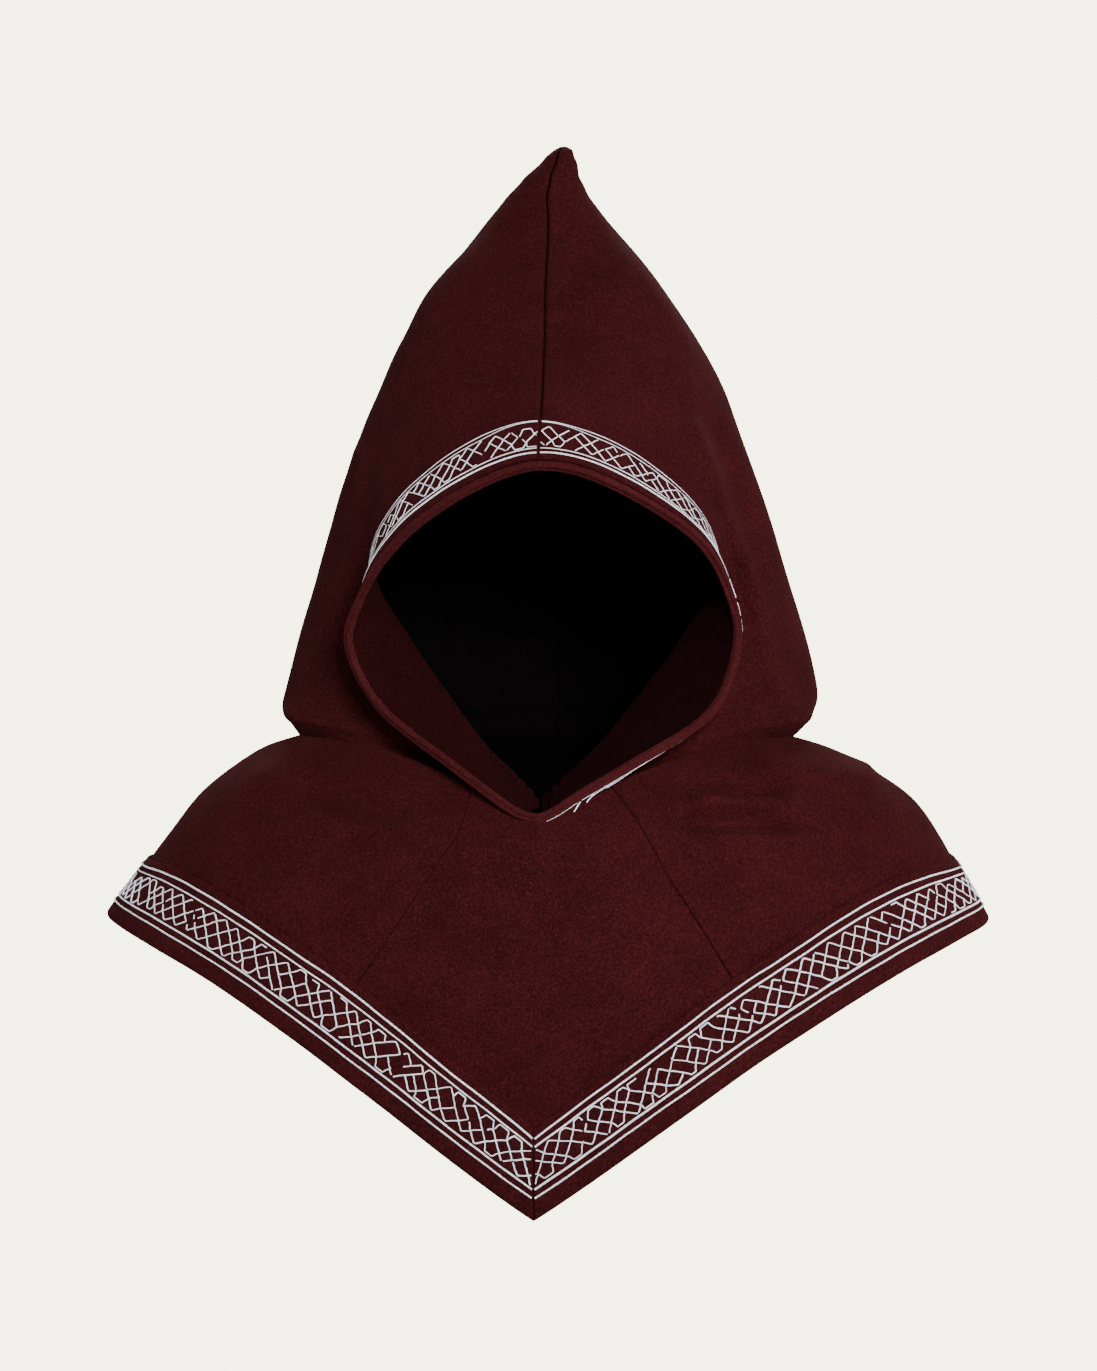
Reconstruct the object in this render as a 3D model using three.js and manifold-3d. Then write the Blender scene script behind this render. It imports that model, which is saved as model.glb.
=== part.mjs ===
// A wool hood with a pointed crown and a shoulder cape, as it is worn. Millimetres, +Z up, the face
// towards -Y, the wearer's left towards +X. The origin is the seat of the crown, on the inner side of
// the ridge seam, where the hood rests on the head.
import * as THREE from 'three';
import Module from 'manifold-3d';

const wasm = await Module();
wasm.setup();

// Driving dimensions
const WOOL_THICKNESS = 2.2;
const BAND_THICKNESS = 1.6;
const GAP = 0.3;
const HALF_GAP = 0.17;
const FACE_BAND_WIDTH = 25;
const HEM_BAND_WIDTH = 43;
const BINDING_WIDTH = 4;
const BINDING_OUTSIDE = 1.3;
const BINDING_INSIDE = 3.5;
const BINDING_CLEARANCE = 0.6;
const LAST_BAND_ROW = 0.84;
const FACE_EDGE_STEPS = 72;
const SEAM_OVERRUN = 4;
const SMALL_STEP = 1e-3;

// Mesh density: columns run from the face edge to the back seam, rows from the ridge to the neck
// and from the neck to the hem.
const FACE_BAND_COLUMNS = 3;
const SIDE_COLUMNS = 14;
const HOOD_ROWS = 20;
const NECK_ROWS = 4;
const CAPE_ROWS = 7;
const HEM_BAND_ROWS = 3;

// Sections of the cape from the neck seam down past the hem. Each one is a ring: half widths on both
// sides, depth to the front and to the back, and the height at the sides, the front and the back.
// frontPower and backPower are the powers of sine and cosine along the ring, where 1 is an ellipse and
// 2 a straight-sided V, and dropPower is how quickly the front drops towards the middle. seamLeft and
// seamRight say how far from the middle the two front seams cross the section.
const CAPE_SECTIONS = [
  { left: 136, right: 134, sideZ: -232, frontY: -105, frontZ: -270, backY: 115, backZ: -238,
    frontPower: 1.9, backPower: 1, dropPower: 4 },
  { left: 160, right: 163, sideZ: -241, frontY: -113, frontZ: -286, backY: 131, backZ: -256,
    frontPower: 1.45, backPower: 0.98, dropPower: 3, seamLeft: 50, seamRight: 61 },
  { left: 187, right: 194, sideZ: -261, frontY: -121, frontZ: -315, backY: 145, backZ: -288,
    frontPower: 1.15, backPower: 0.95, dropPower: 2.4, seamLeft: 71, seamRight: 81 },
  { left: 208, right: 214, sideZ: -286, frontY: -127, frontZ: -355, backY: 153, backZ: -335,
    frontPower: 0.97, backPower: 0.92, dropPower: 2, seamLeft: 98, seamRight: 106 },
  { left: 224, right: 228, sideZ: -309, frontY: -131, frontZ: -405, backY: 156, backZ: -395,
    frontPower: 0.92, backPower: 0.9, dropPower: 2, seamLeft: 126, seamRight: 132 },
  { left: 240, right: 240, sideZ: -331, frontY: -133, frontZ: -460, backY: 156, backZ: -455,
    frontPower: 0.9, backPower: 0.9, dropPower: 2, seamLeft: 144, seamRight: 149 },
  { left: 256, right: 256, sideZ: -360, frontY: -134, frontZ: -520, backY: 155, backZ: -515,
    frontPower: 0.9, backPower: 0.9, dropPower: 2, seamLeft: 154, seamRight: 158 },
];
const FRONT_SEAM_COLUMN = 0.19;

// The hem rises from a point at the front and at the back to the sides of the arms. The bow lifts it
// above the straight line, most of all near the sides.
const HEM = { pointZ: -476, sideX: 241, sideZ: -331, bowLeft: 0.57, bowRight: 0.45, bowPower: 1.6 };

// Half of the head part. Rows run down from the ridge to just above the neck seam, and columns from
// the face edge to the back seam. Each entry is x, y, z, with x outwards. The cheeks lie in a deep
// fold behind the face edge, which turns outwards there like a collar and hides the band.
const HOOD_SECTIONS = [
  { face: [0, -88, -86], cheek: [0, -67, -55], fold: [0, -28, -25], crown: [0, 5, 8],
    side: [0, 36, 43], rear: [0, 62, 85], seam: [0, 78, 98] },
  { face: [44, -82, -97], cheek: [43, -60, -69], fold: [48, -20, -29], crown: [55, 22, 14],
    side: [37, 54, 44], rear: [19, 77, 71], seam: [0, 91, 84] },
  { face: [83, -67, -123], cheek: [81, -43, -107], fold: [86, -7, -72], crown: [90, 35, -36],
    side: [78, 81, -10], rear: [44, 113, 12], seam: [0, 124, 22] },
  { face: [101, -51, -154], cheek: [93, -21, -145], fold: [108, 5, -122], crown: [116, 43, -98],
    side: [102, 93, -82], rear: [58, 135, -66], seam: [0, 146, -56] },
  { face: [106, -45, -182], cheek: [74, -19, -180], fold: [119, 3, -168], crown: [134, 50, -154],
    side: [118, 103, -142], rear: [68, 143, -128], seam: [0, 154, -120] },
  { face: [92, -54, -217], cheek: [52, -35, -210], fold: [120, -8, -208], crown: [147, 36, -205],
    side: [128, 98, -196], rear: [74, 135, -186], seam: [0, 147, -178] },
  { face: [49, -83, -244], cheek: [30, -54, -233], fold: [114, -22, -224], crown: [146, 12, -220],
    side: [122, 78, -221], rear: [70, 118, -221], seam: [0, 131, -219] },
  { face: [20, -98, -259], cheek: [13, -66, -255], fold: [108, -25, -230], crown: [141, 6, -226],
    side: [119, 68, -227], rear: [69, 109, -229], seam: [0, 123, -229] },
];
const HOOD_COLUMNS = ['face', 'cheek', 'fold', 'crown', 'side', 'rear', 'seam'];
const CHEEK_COLUMN = 1 / 6;
// How much closer the columns lie in the fold behind the face edge than at the back.
const COLUMN_SPREAD = 1.3;

// The face edge of the other half, by row, because the opening isn't quite symmetrical.
const LEFT_FACE_EDGE = [[0, -88, -86], [43, -82, -100], [78, -67, -127], [99, -51, -155],
  [107, -45, -182], [88, -54, -215], [47, -83, -244], [22, -98, -260]];

// How round the ridge is in each column: 0 is a sharp fold and 1 a round one.
const RIDGE_ROUNDNESS = [1, 0.7, 0.45, 0.3, 0.3, 0.6, 1];

// Sideways lean of the head part by height: the ridge seam stays near the middle, while the sides sit
// a little to one side and the tip leans to the other.
const LEAN = [
  { z: -90, ridge: 0, side: 0 },
  { z: -50, ridge: 0, side: -1 },
  { z: -15, ridge: 0, side: -2 },
  { z: 15, ridge: -1, side: -3 },
  { z: 55, ridge: -1, side: -3 },
  { z: 78, ridge: 0, side: 0 },
  { z: 98, ridge: 7, side: 7 },
];
const LEAN_SIDE_X = 30;

// Folds of the wool: a ridge (height above 0) or a valley along a line in the front view, from one
// end to the other, with its height and half width.
const FOLDS = [
  { name: 'right temple', from: [82, -60], to: [106, -135], height: 3, width: 9 },
  { name: 'right cheek', from: [108, -140], to: [124, -208], height: 3.5, width: 10 },
  { name: 'left temple', from: [-104, -72], to: [-112, -150], height: 2.5, width: 12 },
  { name: 'right shoulder', from: [120, -242], to: [172, -250], height: 4, width: 9 },
  { name: 'right shoulder hollow', from: [70, -252], to: [128, -263], height: -3.5, width: 9 },
  { name: 'right collar', from: [88, -268], to: [128, -272], height: 2.5, width: 8 },
  { name: 'left shoulder', from: [-150, -252], to: [-128, -249], height: 3.5, width: 9 },
  { name: 'left shoulder hollow', from: [-120, -258], to: [-80, -268], height: -3, width: 10 },
];
const FOLD_DEEPEST_Y = 60;
const OUTWARD_RISE = 60;

const WOOL_COLOUR = 0x3a1013;
const EDGE_COLOUR = 0x431619;

const smooth = (x, from, to) => THREE.MathUtils.smoothstep(x, from, to);
const curveThrough = (points) => new THREE.CatmullRomCurve3(points, false, 'catmullrom', 0.5);
const vector = ([x, y, z]) => new THREE.Vector3(x, y, z);

// Height that the folds add at a point of the cloth. They fade out at both ends and behind the sides.
function foldHeight(p) {
  const behind = smooth(-p.y, -FOLD_DEEPEST_Y, 0);
  let height = 0;
  for (const fold of FOLDS) {
    const start = new THREE.Vector2(...fold.from);
    const line = new THREE.Vector2(...fold.to).sub(start);
    const offset = new THREE.Vector2(p.x, p.z).sub(start);
    const along = offset.dot(line) / line.lengthSq();
    const beside = offset.clone().addScaledVector(line, -THREE.MathUtils.clamp(along, 0, 1)).length();
    height += fold.height * Math.exp(-((beside / fold.width) ** 2));
  }
  return height * behind;
}

// Moves a point outwards from the middle of the hood by the height of the folds.
function drape(p) {
  const outward = new THREE.Vector3(p.x, p.y, OUTWARD_RISE).normalize();
  return p.clone().addScaledVector(outward, foldHeight(p));
}

// A point of one ring of the cape, at an angle round from the front, positive towards +X.
function ringPoint(section, angle) {
  const sine = Math.sin(angle);
  const cosine = Math.cos(angle);
  const isFront = cosine > 0;
  const halfWidth = sine > 0 ? section.right : section.left;
  const depth = isFront ? section.frontY : section.backY;
  const middleZ = isFront ? section.frontZ : section.backZ;
  const power = isFront ? section.frontPower : section.backPower;
  const drop = Math.abs(cosine) ** (isFront ? section.dropPower : 2);
  return new THREE.Vector3(
    halfWidth * Math.sign(sine) * Math.abs(sine) ** power,
    depth * Math.abs(cosine) ** power,
    THREE.MathUtils.lerp(section.sideZ, middleZ, drop),
  );
}

// The angle round from the front at which a column crosses a section. The columns in front of the
// sides are spread so that the front seam crosses where the section says.
function columnAngle(section, side, column) {
  if (section.seamLeft === undefined || column >= 0.5) {
    return Math.PI * column;
  }
  const [seamX, halfWidth] = side > 0
    ? [section.seamRight, section.right]
    : [section.seamLeft, section.left];
  const seamAngle = Math.asin((seamX / halfWidth) ** (1 / section.frontPower));
  return column < FRONT_SEAM_COLUMN
    ? THREE.MathUtils.mapLinear(column, 0, FRONT_SEAM_COLUMN, 0, seamAngle)
    : THREE.MathUtils.mapLinear(column, FRONT_SEAM_COLUMN, 0.5, seamAngle, Math.PI / 2);
}

// A point of the cape before it is draped. column runs from 0 at the front to 1 at the back, and depth
// counts the sections from the neck.
function capeShape(side, column, depth) {
  const ring = CAPE_SECTIONS.map((section) => (
    ringPoint(section, side * columnAngle(section, side, column))
  ));
  return curveThrough(ring).getPoint(depth / (CAPE_SECTIONS.length - 1));
}

function capePoint(side, column, depth) {
  return drape(capeShape(side, column, depth));
}

// The depth at which a column of the cape meets the hem, found by halving.
function hemDepth(side, column) {
  const bow = side > 0 ? HEM.bowRight : HEM.bowLeft;
  let above = 0;
  let below = CAPE_SECTIONS.length - 1;
  for (let step = 0; step < 30; step += 1) {
    const middle = (above + below) / 2;
    const p = capeShape(side, column, middle);
    const outwards = Math.abs(p.x) / HEM.sideX;
    const rise = outwards + bow * outwards ** HEM.bowPower * (1 - outwards);
    if (p.z > HEM.pointZ + rise * (HEM.sideZ - HEM.pointZ)) {
      above = middle;
    } else {
      below = middle;
    }
  }
  return (above + below) / 2;
}

// The depth of a column at a distance up from the hem, square to the hem.
function depthAboveHem(side, column, distance) {
  const step = column < 1 ? SMALL_STEP : -SMALL_STEP;
  const depth = hemDepth(side, column);
  const edge = capePoint(side, column, depth);
  const along = capePoint(side, column + step, hemDepth(side, column + step)).sub(edge).normalize();
  const upwards = capePoint(side, column, depth - SMALL_STEP).sub(edge).divideScalar(SMALL_STEP);
  return depth - distance / upwards.cross(along).length();
}

// One half of the head part, up to the seam plane x = 0. row runs from the ridge (0) to the neck (1).
function hoodPoint(side, row, column) {
  const sections = HOOD_SECTIONS.map((section, index) => {
    const points = HOOD_COLUMNS.map((name) => vector(section[name]));
    if (side < 0) {
      points[0] = vector(LEFT_FACE_EDGE[index]);
    }
    return points;
  });
  const beyondRidge = sections[0].map((ridge, index) => {
    const next = sections[1][index];
    const mirrored = next.clone().setX(-next.x);
    return ridge.clone().multiplyScalar(2).sub(next).lerp(mirrored, RIDGE_ROUNDNESS[index]);
  });
  const down = [beyondRidge, ...sections].map((points) => curveThrough(points).getPoint(column));
  const neck = ringPoint(CAPE_SECTIONS[0], side * Math.PI * column);
  down.push(neck.setX(Math.abs(neck.x)));
  const last = down.length - 1;
  const p = curveThrough(down).getPoint((1 + row * (last - 1)) / last);
  p.x = Math.max(p.x, 0) * side;
  return drape(p);
}

// The face edge of each half as a line of points.
const faceEdges = new Map([1, -1].map((side) => {
  const points = [];
  for (let step = 0; step <= FACE_EDGE_STEPS; step += 1) {
    points.push(hoodPoint(side, step / FACE_EDGE_STEPS, 0));
  }
  return [side, points];
}));

function distanceFromFace(side, p) {
  const points = faceEdges.get(side);
  const nearest = new THREE.Vector3();
  let distance = Infinity;
  for (let step = 0; step < FACE_EDGE_STEPS; step += 1) {
    new THREE.Line3(points[step], points[step + 1]).closestPointToPoint(p, true, nearest);
    distance = Math.min(distance, nearest.distanceTo(p));
  }
  return distance;
}

// The first column of a row at a distance from the face edge, found by halving. It lies before the
// bottom of the fold behind the edge, where that is deep enough.
function columnFromFace(side, row, distance) {
  const isClose = (column) => distanceFromFace(side, hoodPoint(side, row, column)) < distance;
  let near = 0;
  let far = isClose(CHEEK_COLUMN) ? 0.5 : CHEEK_COLUMN;
  for (let halving = 0; halving < 20; halving += 1) {
    const middle = (near + far) / 2;
    if (isClose(middle)) {
      near = middle;
    } else {
      far = middle;
    }
  }
  return (near + far) / 2;
}

// The columns at which the face band ends where it is whole, and below it at the neck.
const BAND_END = BINDING_WIDTH + BINDING_CLEARANCE + FACE_BAND_WIDTH;
const bandEnds = new Map([1, -1].map((side) => (
  [side, [columnFromFace(side, LAST_BAND_ROW, BAND_END), columnFromFace(side, 1, BAND_END)]]
)));

// The columns of a row: the binding's edge, the face band, and then on to the back seam.
function hoodColumns(side, row) {
  const belowBand = Math.max(row - LAST_BAND_ROW, 0) / (1 - LAST_BAND_ROW);
  const bandStart = columnFromFace(side, row, BINDING_WIDTH + BINDING_CLEARANCE);
  const bandEnd = belowBand > 0
    ? THREE.MathUtils.lerp(...bandEnds.get(side), belowBand)
    : columnFromFace(side, row, BAND_END);
  const spread = THREE.MathUtils.lerp(COLUMN_SPREAD, 1, belowBand);
  const columns = [];
  for (let step = 0; step <= FACE_BAND_COLUMNS; step += 1) {
    columns.push(THREE.MathUtils.lerp(bandStart, bandEnd, step / FACE_BAND_COLUMNS));
  }
  for (let step = 1; step <= SIDE_COLUMNS; step += 1) {
    columns.push(THREE.MathUtils.lerp(bandEnd, 1, (step / SIDE_COLUMNS) ** spread));
  }
  return columns;
}

// The rows of the head part: even as far as the face band goes, and then a few more to the neck.
const ROWS = [];
for (let index = 0; index < HOOD_ROWS; index += 1) {
  ROWS.push(LAST_BAND_ROW * index / (HOOD_ROWS - 1));
}
for (let index = 1; index <= NECK_ROWS; index += 1) {
  ROWS.push(THREE.MathUtils.lerp(LAST_BAND_ROW, 1, index / NECK_ROWS));
}

// The unit normal of a surface, outwards, from steps towards the middle of its range.
function normalAt(surface, side, a, b) {
  const stepA = a < 0.5 ? SMALL_STEP : -SMALL_STEP;
  const stepB = b < 0.5 ? SMALL_STEP : -SMALL_STEP;
  const p = surface(side, a, b);
  const alongA = surface(side, a + stepA, b).sub(p).divideScalar(stepA);
  const alongB = surface(side, a, b + stepB).sub(p).divideScalar(stepB);
  const normal = alongA.cross(alongB).normalize();
  return normal.multiplyScalar(side);
}

const hoodNormal = (side, row, column) => normalAt(hoodPoint, side, row, column);
const capeNormal = (side, column, depth) => (
  normalAt((s, d, c) => capePoint(s, c, d), side, depth, column)
);

// Offset of the inner side along the neck seam, shared by the head part and the cape.
function neckMitre(side, column) {
  const hood = hoodNormal(side, 1, column);
  const cape = capeNormal(side, column, 0);
  return hood.clone().add(cape).divideScalar(1 + hood.dot(cape));
}

// How far a seam edge is moved along its own cloth so that the seam keeps its gap.
function neckInset(side, column) {
  const hood = hoodNormal(side, 1, column);
  const cape = capeNormal(side, column, 0);
  const halfAngle = Math.acos(THREE.MathUtils.clamp(-hood.dot(cape), -1, 1)) / 2;
  return HALF_GAP / Math.sin(halfAngle);
}

// A closed solid from a grid of outer points and the matching inner points.
function shell(outer, inner, side) {
  const rows = outer.length;
  const columns = outer[0].length;
  const index = (layer, row, column) => layer * rows * columns + row * columns + column;
  const points = [...outer.flat(), ...inner.flat()];
  const triangles = [];
  const addTriangle = (a, b, c) => triangles.push(...(side > 0 ? [a, b, c] : [a, c, b]));
  const quad = (a, b, c, d) => {
    if (points[a].distanceTo(points[c]) < points[b].distanceTo(points[d])) {
      addTriangle(a, b, c);
      addTriangle(a, c, d);
    } else {
      addTriangle(a, b, d);
      addTriangle(b, c, d);
    }
  };
  for (let row = 0; row < rows - 1; row += 1) {
    for (let column = 0; column < columns - 1; column += 1) {
      quad(index(0, row, column), index(0, row + 1, column),
        index(0, row + 1, column + 1), index(0, row, column + 1));
      quad(index(1, row, column), index(1, row, column + 1),
        index(1, row + 1, column + 1), index(1, row + 1, column));
    }
  }
  for (let row = 0; row < rows - 1; row += 1) {
    quad(index(0, row, 0), index(1, row, 0), index(1, row + 1, 0), index(0, row + 1, 0));
    quad(index(0, row + 1, columns - 1), index(1, row + 1, columns - 1),
      index(1, row, columns - 1), index(0, row, columns - 1));
  }
  for (let column = 0; column < columns - 1; column += 1) {
    quad(index(0, 0, column + 1), index(1, 0, column + 1), index(1, 0, column), index(0, 0, column));
    quad(index(0, rows - 1, column), index(1, rows - 1, column),
      index(1, rows - 1, column + 1), index(0, rows - 1, column + 1));
  }
  return indexedGeometry(points, triangles);
}

function indexedGeometry(points, triangles) {
  const geometry = new THREE.BufferGeometry().setFromPoints(points);
  geometry.setIndex(triangles);
  return geometry;
}

function toSolid(geometry) {
  const mesh = new wasm.Mesh({
    numProp: 3,
    vertProperties: new Float32Array(geometry.attributes.position.array),
    triVerts: new Uint32Array(geometry.index.array),
  });
  return new wasm.Manifold(mesh);
}

function toGeometry(solid) {
  const mesh = solid.getMesh();
  const geometry = new THREE.BufferGeometry();
  geometry.setAttribute('position', new THREE.Float32BufferAttribute(mesh.vertProperties, 3));
  geometry.setIndex([...mesh.triVerts]);
  return geometry;
}

// Keeps what lies on one side of the seam plane, half a seam's gap away from it.
function cutAtSeamPlane(geometry, side) {
  const solid = toSolid(geometry).trimByPlane([side, 0, 0], HALF_GAP);
  return toGeometry(solid);
}

// Shifts a finished piece of the head part sideways by the lean at its height.
function lean(geometry) {
  const position = geometry.attributes.position;
  for (let index = 0; index < position.count; index += 1) {
    const z = position.getZ(index);
    const x = position.getX(index);
    const above = LEAN.findIndex((row) => row.z > z);
    const upper = LEAN[above < 0 ? LEAN.length - 1 : above];
    const lower = LEAN[above < 0 ? LEAN.length - 1 : Math.max(above - 1, 0)];
    const share = upper === lower ? 0 : smooth(z, lower.z, upper.z);
    const ridge = THREE.MathUtils.lerp(lower.ridge, upper.ridge, share);
    const sides = THREE.MathUtils.lerp(lower.side, upper.side, share);
    position.setX(index, x + THREE.MathUtils.lerp(ridge, sides, smooth(Math.abs(x), 0, LEAN_SIDE_X)));
  }
  return geometry;
}

// A layer of the head part between two heights over its outer side, for a range of rows and columns,
// run on past the seam plane and cut there.
function hoodLayer(side, rows, pickColumns, outside, inside, reachesNeck) {
  const outer = [];
  const inner = [];
  rows.forEach((row) => {
    const columns = pickColumns(hoodColumns(side, row));
    const atNeck = reachesNeck && row === 1;
    const points = columns.map((column) => hoodPoint(side, row, column));
    const offsets = columns.map((column) => (
      atNeck ? neckMitre(side, column) : hoodNormal(side, row, column)
    ));
    if (atNeck) {
      columns.forEach((column, index) => {
        const upwards = hoodPoint(side, 1 - SMALL_STEP, column).sub(points[index]).normalize();
        points[index].addScaledVector(upwards, neckInset(side, column));
      });
    }
    if (columns.at(-1) === 1) {
      const beyond = points.at(-1).clone().sub(hoodPoint(side, row, 1 - SMALL_STEP)).normalize();
      points.push(points.at(-1).clone().addScaledVector(beyond, SEAM_OVERRUN));
      offsets.push(offsets.at(-1));
    }
    outer.push(points.map((p, index) => p.clone().addScaledVector(offsets[index], outside)));
    inner.push(points.map((p, index) => p.clone().addScaledVector(offsets[index], inside)));
  });
  for (const layer of [outer, inner]) {
    const ridge = pickColumns(hoodColumns(side, 0)).map((column) => (
      hoodPoint(side, 0, column).sub(hoodPoint(side, SMALL_STEP, column)).normalize()
    ));
    const overrun = layer[0].map((p, index) => (
      p.clone().addScaledVector(ridge[Math.min(index, ridge.length - 1)], SEAM_OVERRUN)
    ));
    layer.unshift(overrun);
  }
  return cutAtSeamPlane(shell(outer, inner, side), side);
}

function hoodHalf(side) {
  const cloth = toSolid(hoodLayer(side, ROWS, (columns) => columns, 0, -WOOL_THICKNESS, true));
  return lean(toGeometry(cloth.subtract(toSolid(sweepAlongFace(side, BINDING_ROOM)))));
}

function faceBand(side) {
  const bandColumns = (columns) => columns.slice(0, FACE_BAND_COLUMNS + 1);
  const rows = ROWS.slice(0, HOOD_ROWS);
  return lean(hoodLayer(side, rows, bandColumns, GAP + BAND_THICKNESS, GAP, false));
}

// The rolled edge of the face opening: two ridges with a groove between them, swept along the edge.
// Its section is given as distance from the edge and height over the outer side of the wool.
const BINDING_SECTION = [
  [0.9, BINDING_OUTSIDE], [0.1, 0.7], [0.1, -0.5], [0.6, -1.1], [0, -1.7], [0, -2.9],
  [0.9, -BINDING_INSIDE], [BINDING_WIDTH - 0.6, -BINDING_INSIDE + 0.2],
  [BINDING_WIDTH, -BINDING_INSIDE + 0.8], [BINDING_WIDTH, BINDING_OUTSIDE - 0.7],
  [BINDING_WIDTH - 0.7, BINDING_OUTSIDE],
];
const BINDING_ROOM = [
  [-1, BINDING_OUTSIDE + 1], [-1, -BINDING_INSIDE - 1],
  [BINDING_WIDTH + GAP, -BINDING_INSIDE - 1], [BINDING_WIDTH + GAP, BINDING_OUTSIDE + 1],
];
const THROAT_OVERRUN = 14;
// The last row at which both halves of the face edge still have a width beside them to be square to.
const THROAT_ROW = 0.985;

function sweepAlongFace(side, section) {
  const rings = [];
  const addRing = (row, overrun) => {
    const step = row < 0.5 ? SMALL_STEP : -SMALL_STEP;
    const edge = hoodPoint(side, row, 0);
    const tangent = hoodPoint(side, row + step, 0).sub(edge).divideScalar(step).normalize();
    const normal = hoodNormal(side, Math.min(row, THROAT_ROW), 0);
    const inwards = normal.clone().cross(tangent).multiplyScalar(side);
    const centre = edge.clone().addScaledVector(tangent, overrun);
    rings.push(section.map(([distance, height]) => (
      centre.clone().addScaledVector(inwards, distance).addScaledVector(normal, height)
    )));
  };
  addRing(0, -SEAM_OVERRUN);
  ROWS.forEach((row) => addRing(row, 0));
  addRing(1, THROAT_OVERRUN);
  const sides = section.length;
  const triangles = [];
  const add = (a, b, c) => triangles.push(...(side > 0 ? [a, b, c] : [a, c, b]));
  for (let ring = 0; ring < rings.length - 1; ring += 1) {
    for (let corner = 0; corner < sides; corner += 1) {
      const next = (corner + 1) % sides;
      add(ring * sides + corner, ring * sides + next, (ring + 1) * sides + next);
      add(ring * sides + corner, (ring + 1) * sides + next, (ring + 1) * sides + corner);
    }
  }
  const outline = section.map(([distance, height]) => new THREE.Vector2(distance, height));
  const end = (rings.length - 1) * sides;
  for (const [a, b, c] of THREE.ShapeUtils.triangulateShape(outline, [])) {
    add(c, b, a);
    add(end + a, end + b, end + c);
  }
  return indexedGeometry(rings.flat(), triangles);
}

function faceBinding(side) {
  return lean(cutAtSeamPlane(sweepAlongFace(side, BINDING_SECTION), side));
}

// The columns of the cape: those where the head part meets the neck seam, and the front middle.
function capeColumns(side) {
  return [0, ...hoodColumns(side, 1)];
}

const FRONT_SEAM = 2;
const LAST_COLUMN = FACE_BAND_COLUMNS + 1 + SIDE_COLUMNS;
const SIDE_MIDDLE = 8;
const BACK_SEAM = LAST_COLUMN - 3;

// The depths of a column's points: from the neck to the hem band, and through the band to the hem.
function capeDepths(side, column) {
  const bandTop = depthAboveHem(side, column, HEM_BAND_WIDTH);
  const hem = hemDepth(side, column);
  const depths = [];
  for (let row = 0; row < CAPE_ROWS; row += 1) {
    depths.push(bandTop * row / CAPE_ROWS);
  }
  for (let row = 0; row <= HEM_BAND_ROWS; row += 1) {
    depths.push(THREE.MathUtils.lerp(bandTop, hem, row / HEM_BAND_ROWS));
  }
  return depths;
}

// A layer of the cape over a run of stations, each a side and a column number, between two heights
// over its outer side. The edges at both ends of the run are moved in by half a gap.
function capeLayer(stations, firstRow, outside, inside) {
  const outer = [];
  const inner = [];
  stations.forEach(({ side, number }, place) => {
    const column = capeColumns(side)[number];
    const depths = capeDepths(side, column);
    const isEnd = place === 0 || place === stations.length - 1;
    const step = column < 0.5 ? SMALL_STEP : -SMALL_STEP;
    depths.forEach((depth, row) => {
      if (row < firstRow) {
        return;
      }
      const atNeck = row === 0;
      const p = capePoint(side, column, depth);
      const offset = atNeck ? neckMitre(side, column) : capeNormal(side, column, depth);
      if (atNeck) {
        const downwards = capePoint(side, column, SMALL_STEP).sub(p).normalize();
        p.addScaledVector(downwards, neckInset(side, column));
      }
      if (isEnd) {
        const inwards = place === 0 ? 1 : -1;
        const along = capePoint(side, column + step, depth).sub(capePoint(side, column, depth));
        const towardsRight = along.normalize().multiplyScalar(Math.sign(step) * side);
        p.addScaledVector(towardsRight, inwards * turnOf(stations) * HALF_GAP);
      }
      (outer[row - firstRow] ??= []).push(p.clone().addScaledVector(offset, outside));
      (inner[row - firstRow] ??= []).push(p.clone().addScaledVector(offset, inside));
    });
  });
  return shell(outer, inner, turnOf(stations));
}

// 1 where a run of stations goes from the front towards +X and on to the back, else -1.
function turnOf(stations) {
  const [first, second] = stations;
  return (second.number - first.number) * second.side > 0 ? 1 : -1;
}

function run(side, from, to) {
  const stations = [];
  const step = Math.sign(to - from);
  for (let number = from; number !== to + step; number += step) {
    stations.push({ side, number });
  }
  return stations;
}

// The front gore has room at its top for the throat of the face binding.
function capeFront() {
  const stations = [...run(-1, FRONT_SEAM, 1), ...run(1, 0, FRONT_SEAM)];
  const panel = toSolid(capeLayer(stations, 0, 0, -WOOL_THICKNESS));
  const [right, left] = [1, -1].map((side) => (
    toSolid(sweepAlongFace(side, BINDING_ROOM)).trimByPlane([side, 0, 0], 0)
  ));
  return toGeometry(panel.subtract(right).subtract(left));
}

function capeBack() {
  const stations = [...run(1, BACK_SEAM, LAST_COLUMN), ...run(-1, LAST_COLUMN - 1, BACK_SEAM)];
  return capeLayer(stations, 0, 0, -WOOL_THICKNESS);
}

function capeSide(side) {
  return capeLayer(run(side, FRONT_SEAM, BACK_SEAM), 0, 0, -WOOL_THICKNESS);
}

function hemBand(side, from, to) {
  return capeLayer(run(side, from, to), CAPE_ROWS, GAP + BAND_THICKNESS, GAP);
}

// Assembly
const hood = new THREE.Group();

function addPiece(name, geometry, colour, roughness) {
  geometry.computeVertexNormals();
  const material = new THREE.MeshStandardMaterial({ color: colour, roughness, metalness: 0 });
  const mesh = new THREE.Mesh(geometry, material);
  mesh.name = name;
  hood.add(mesh);
}

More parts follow.
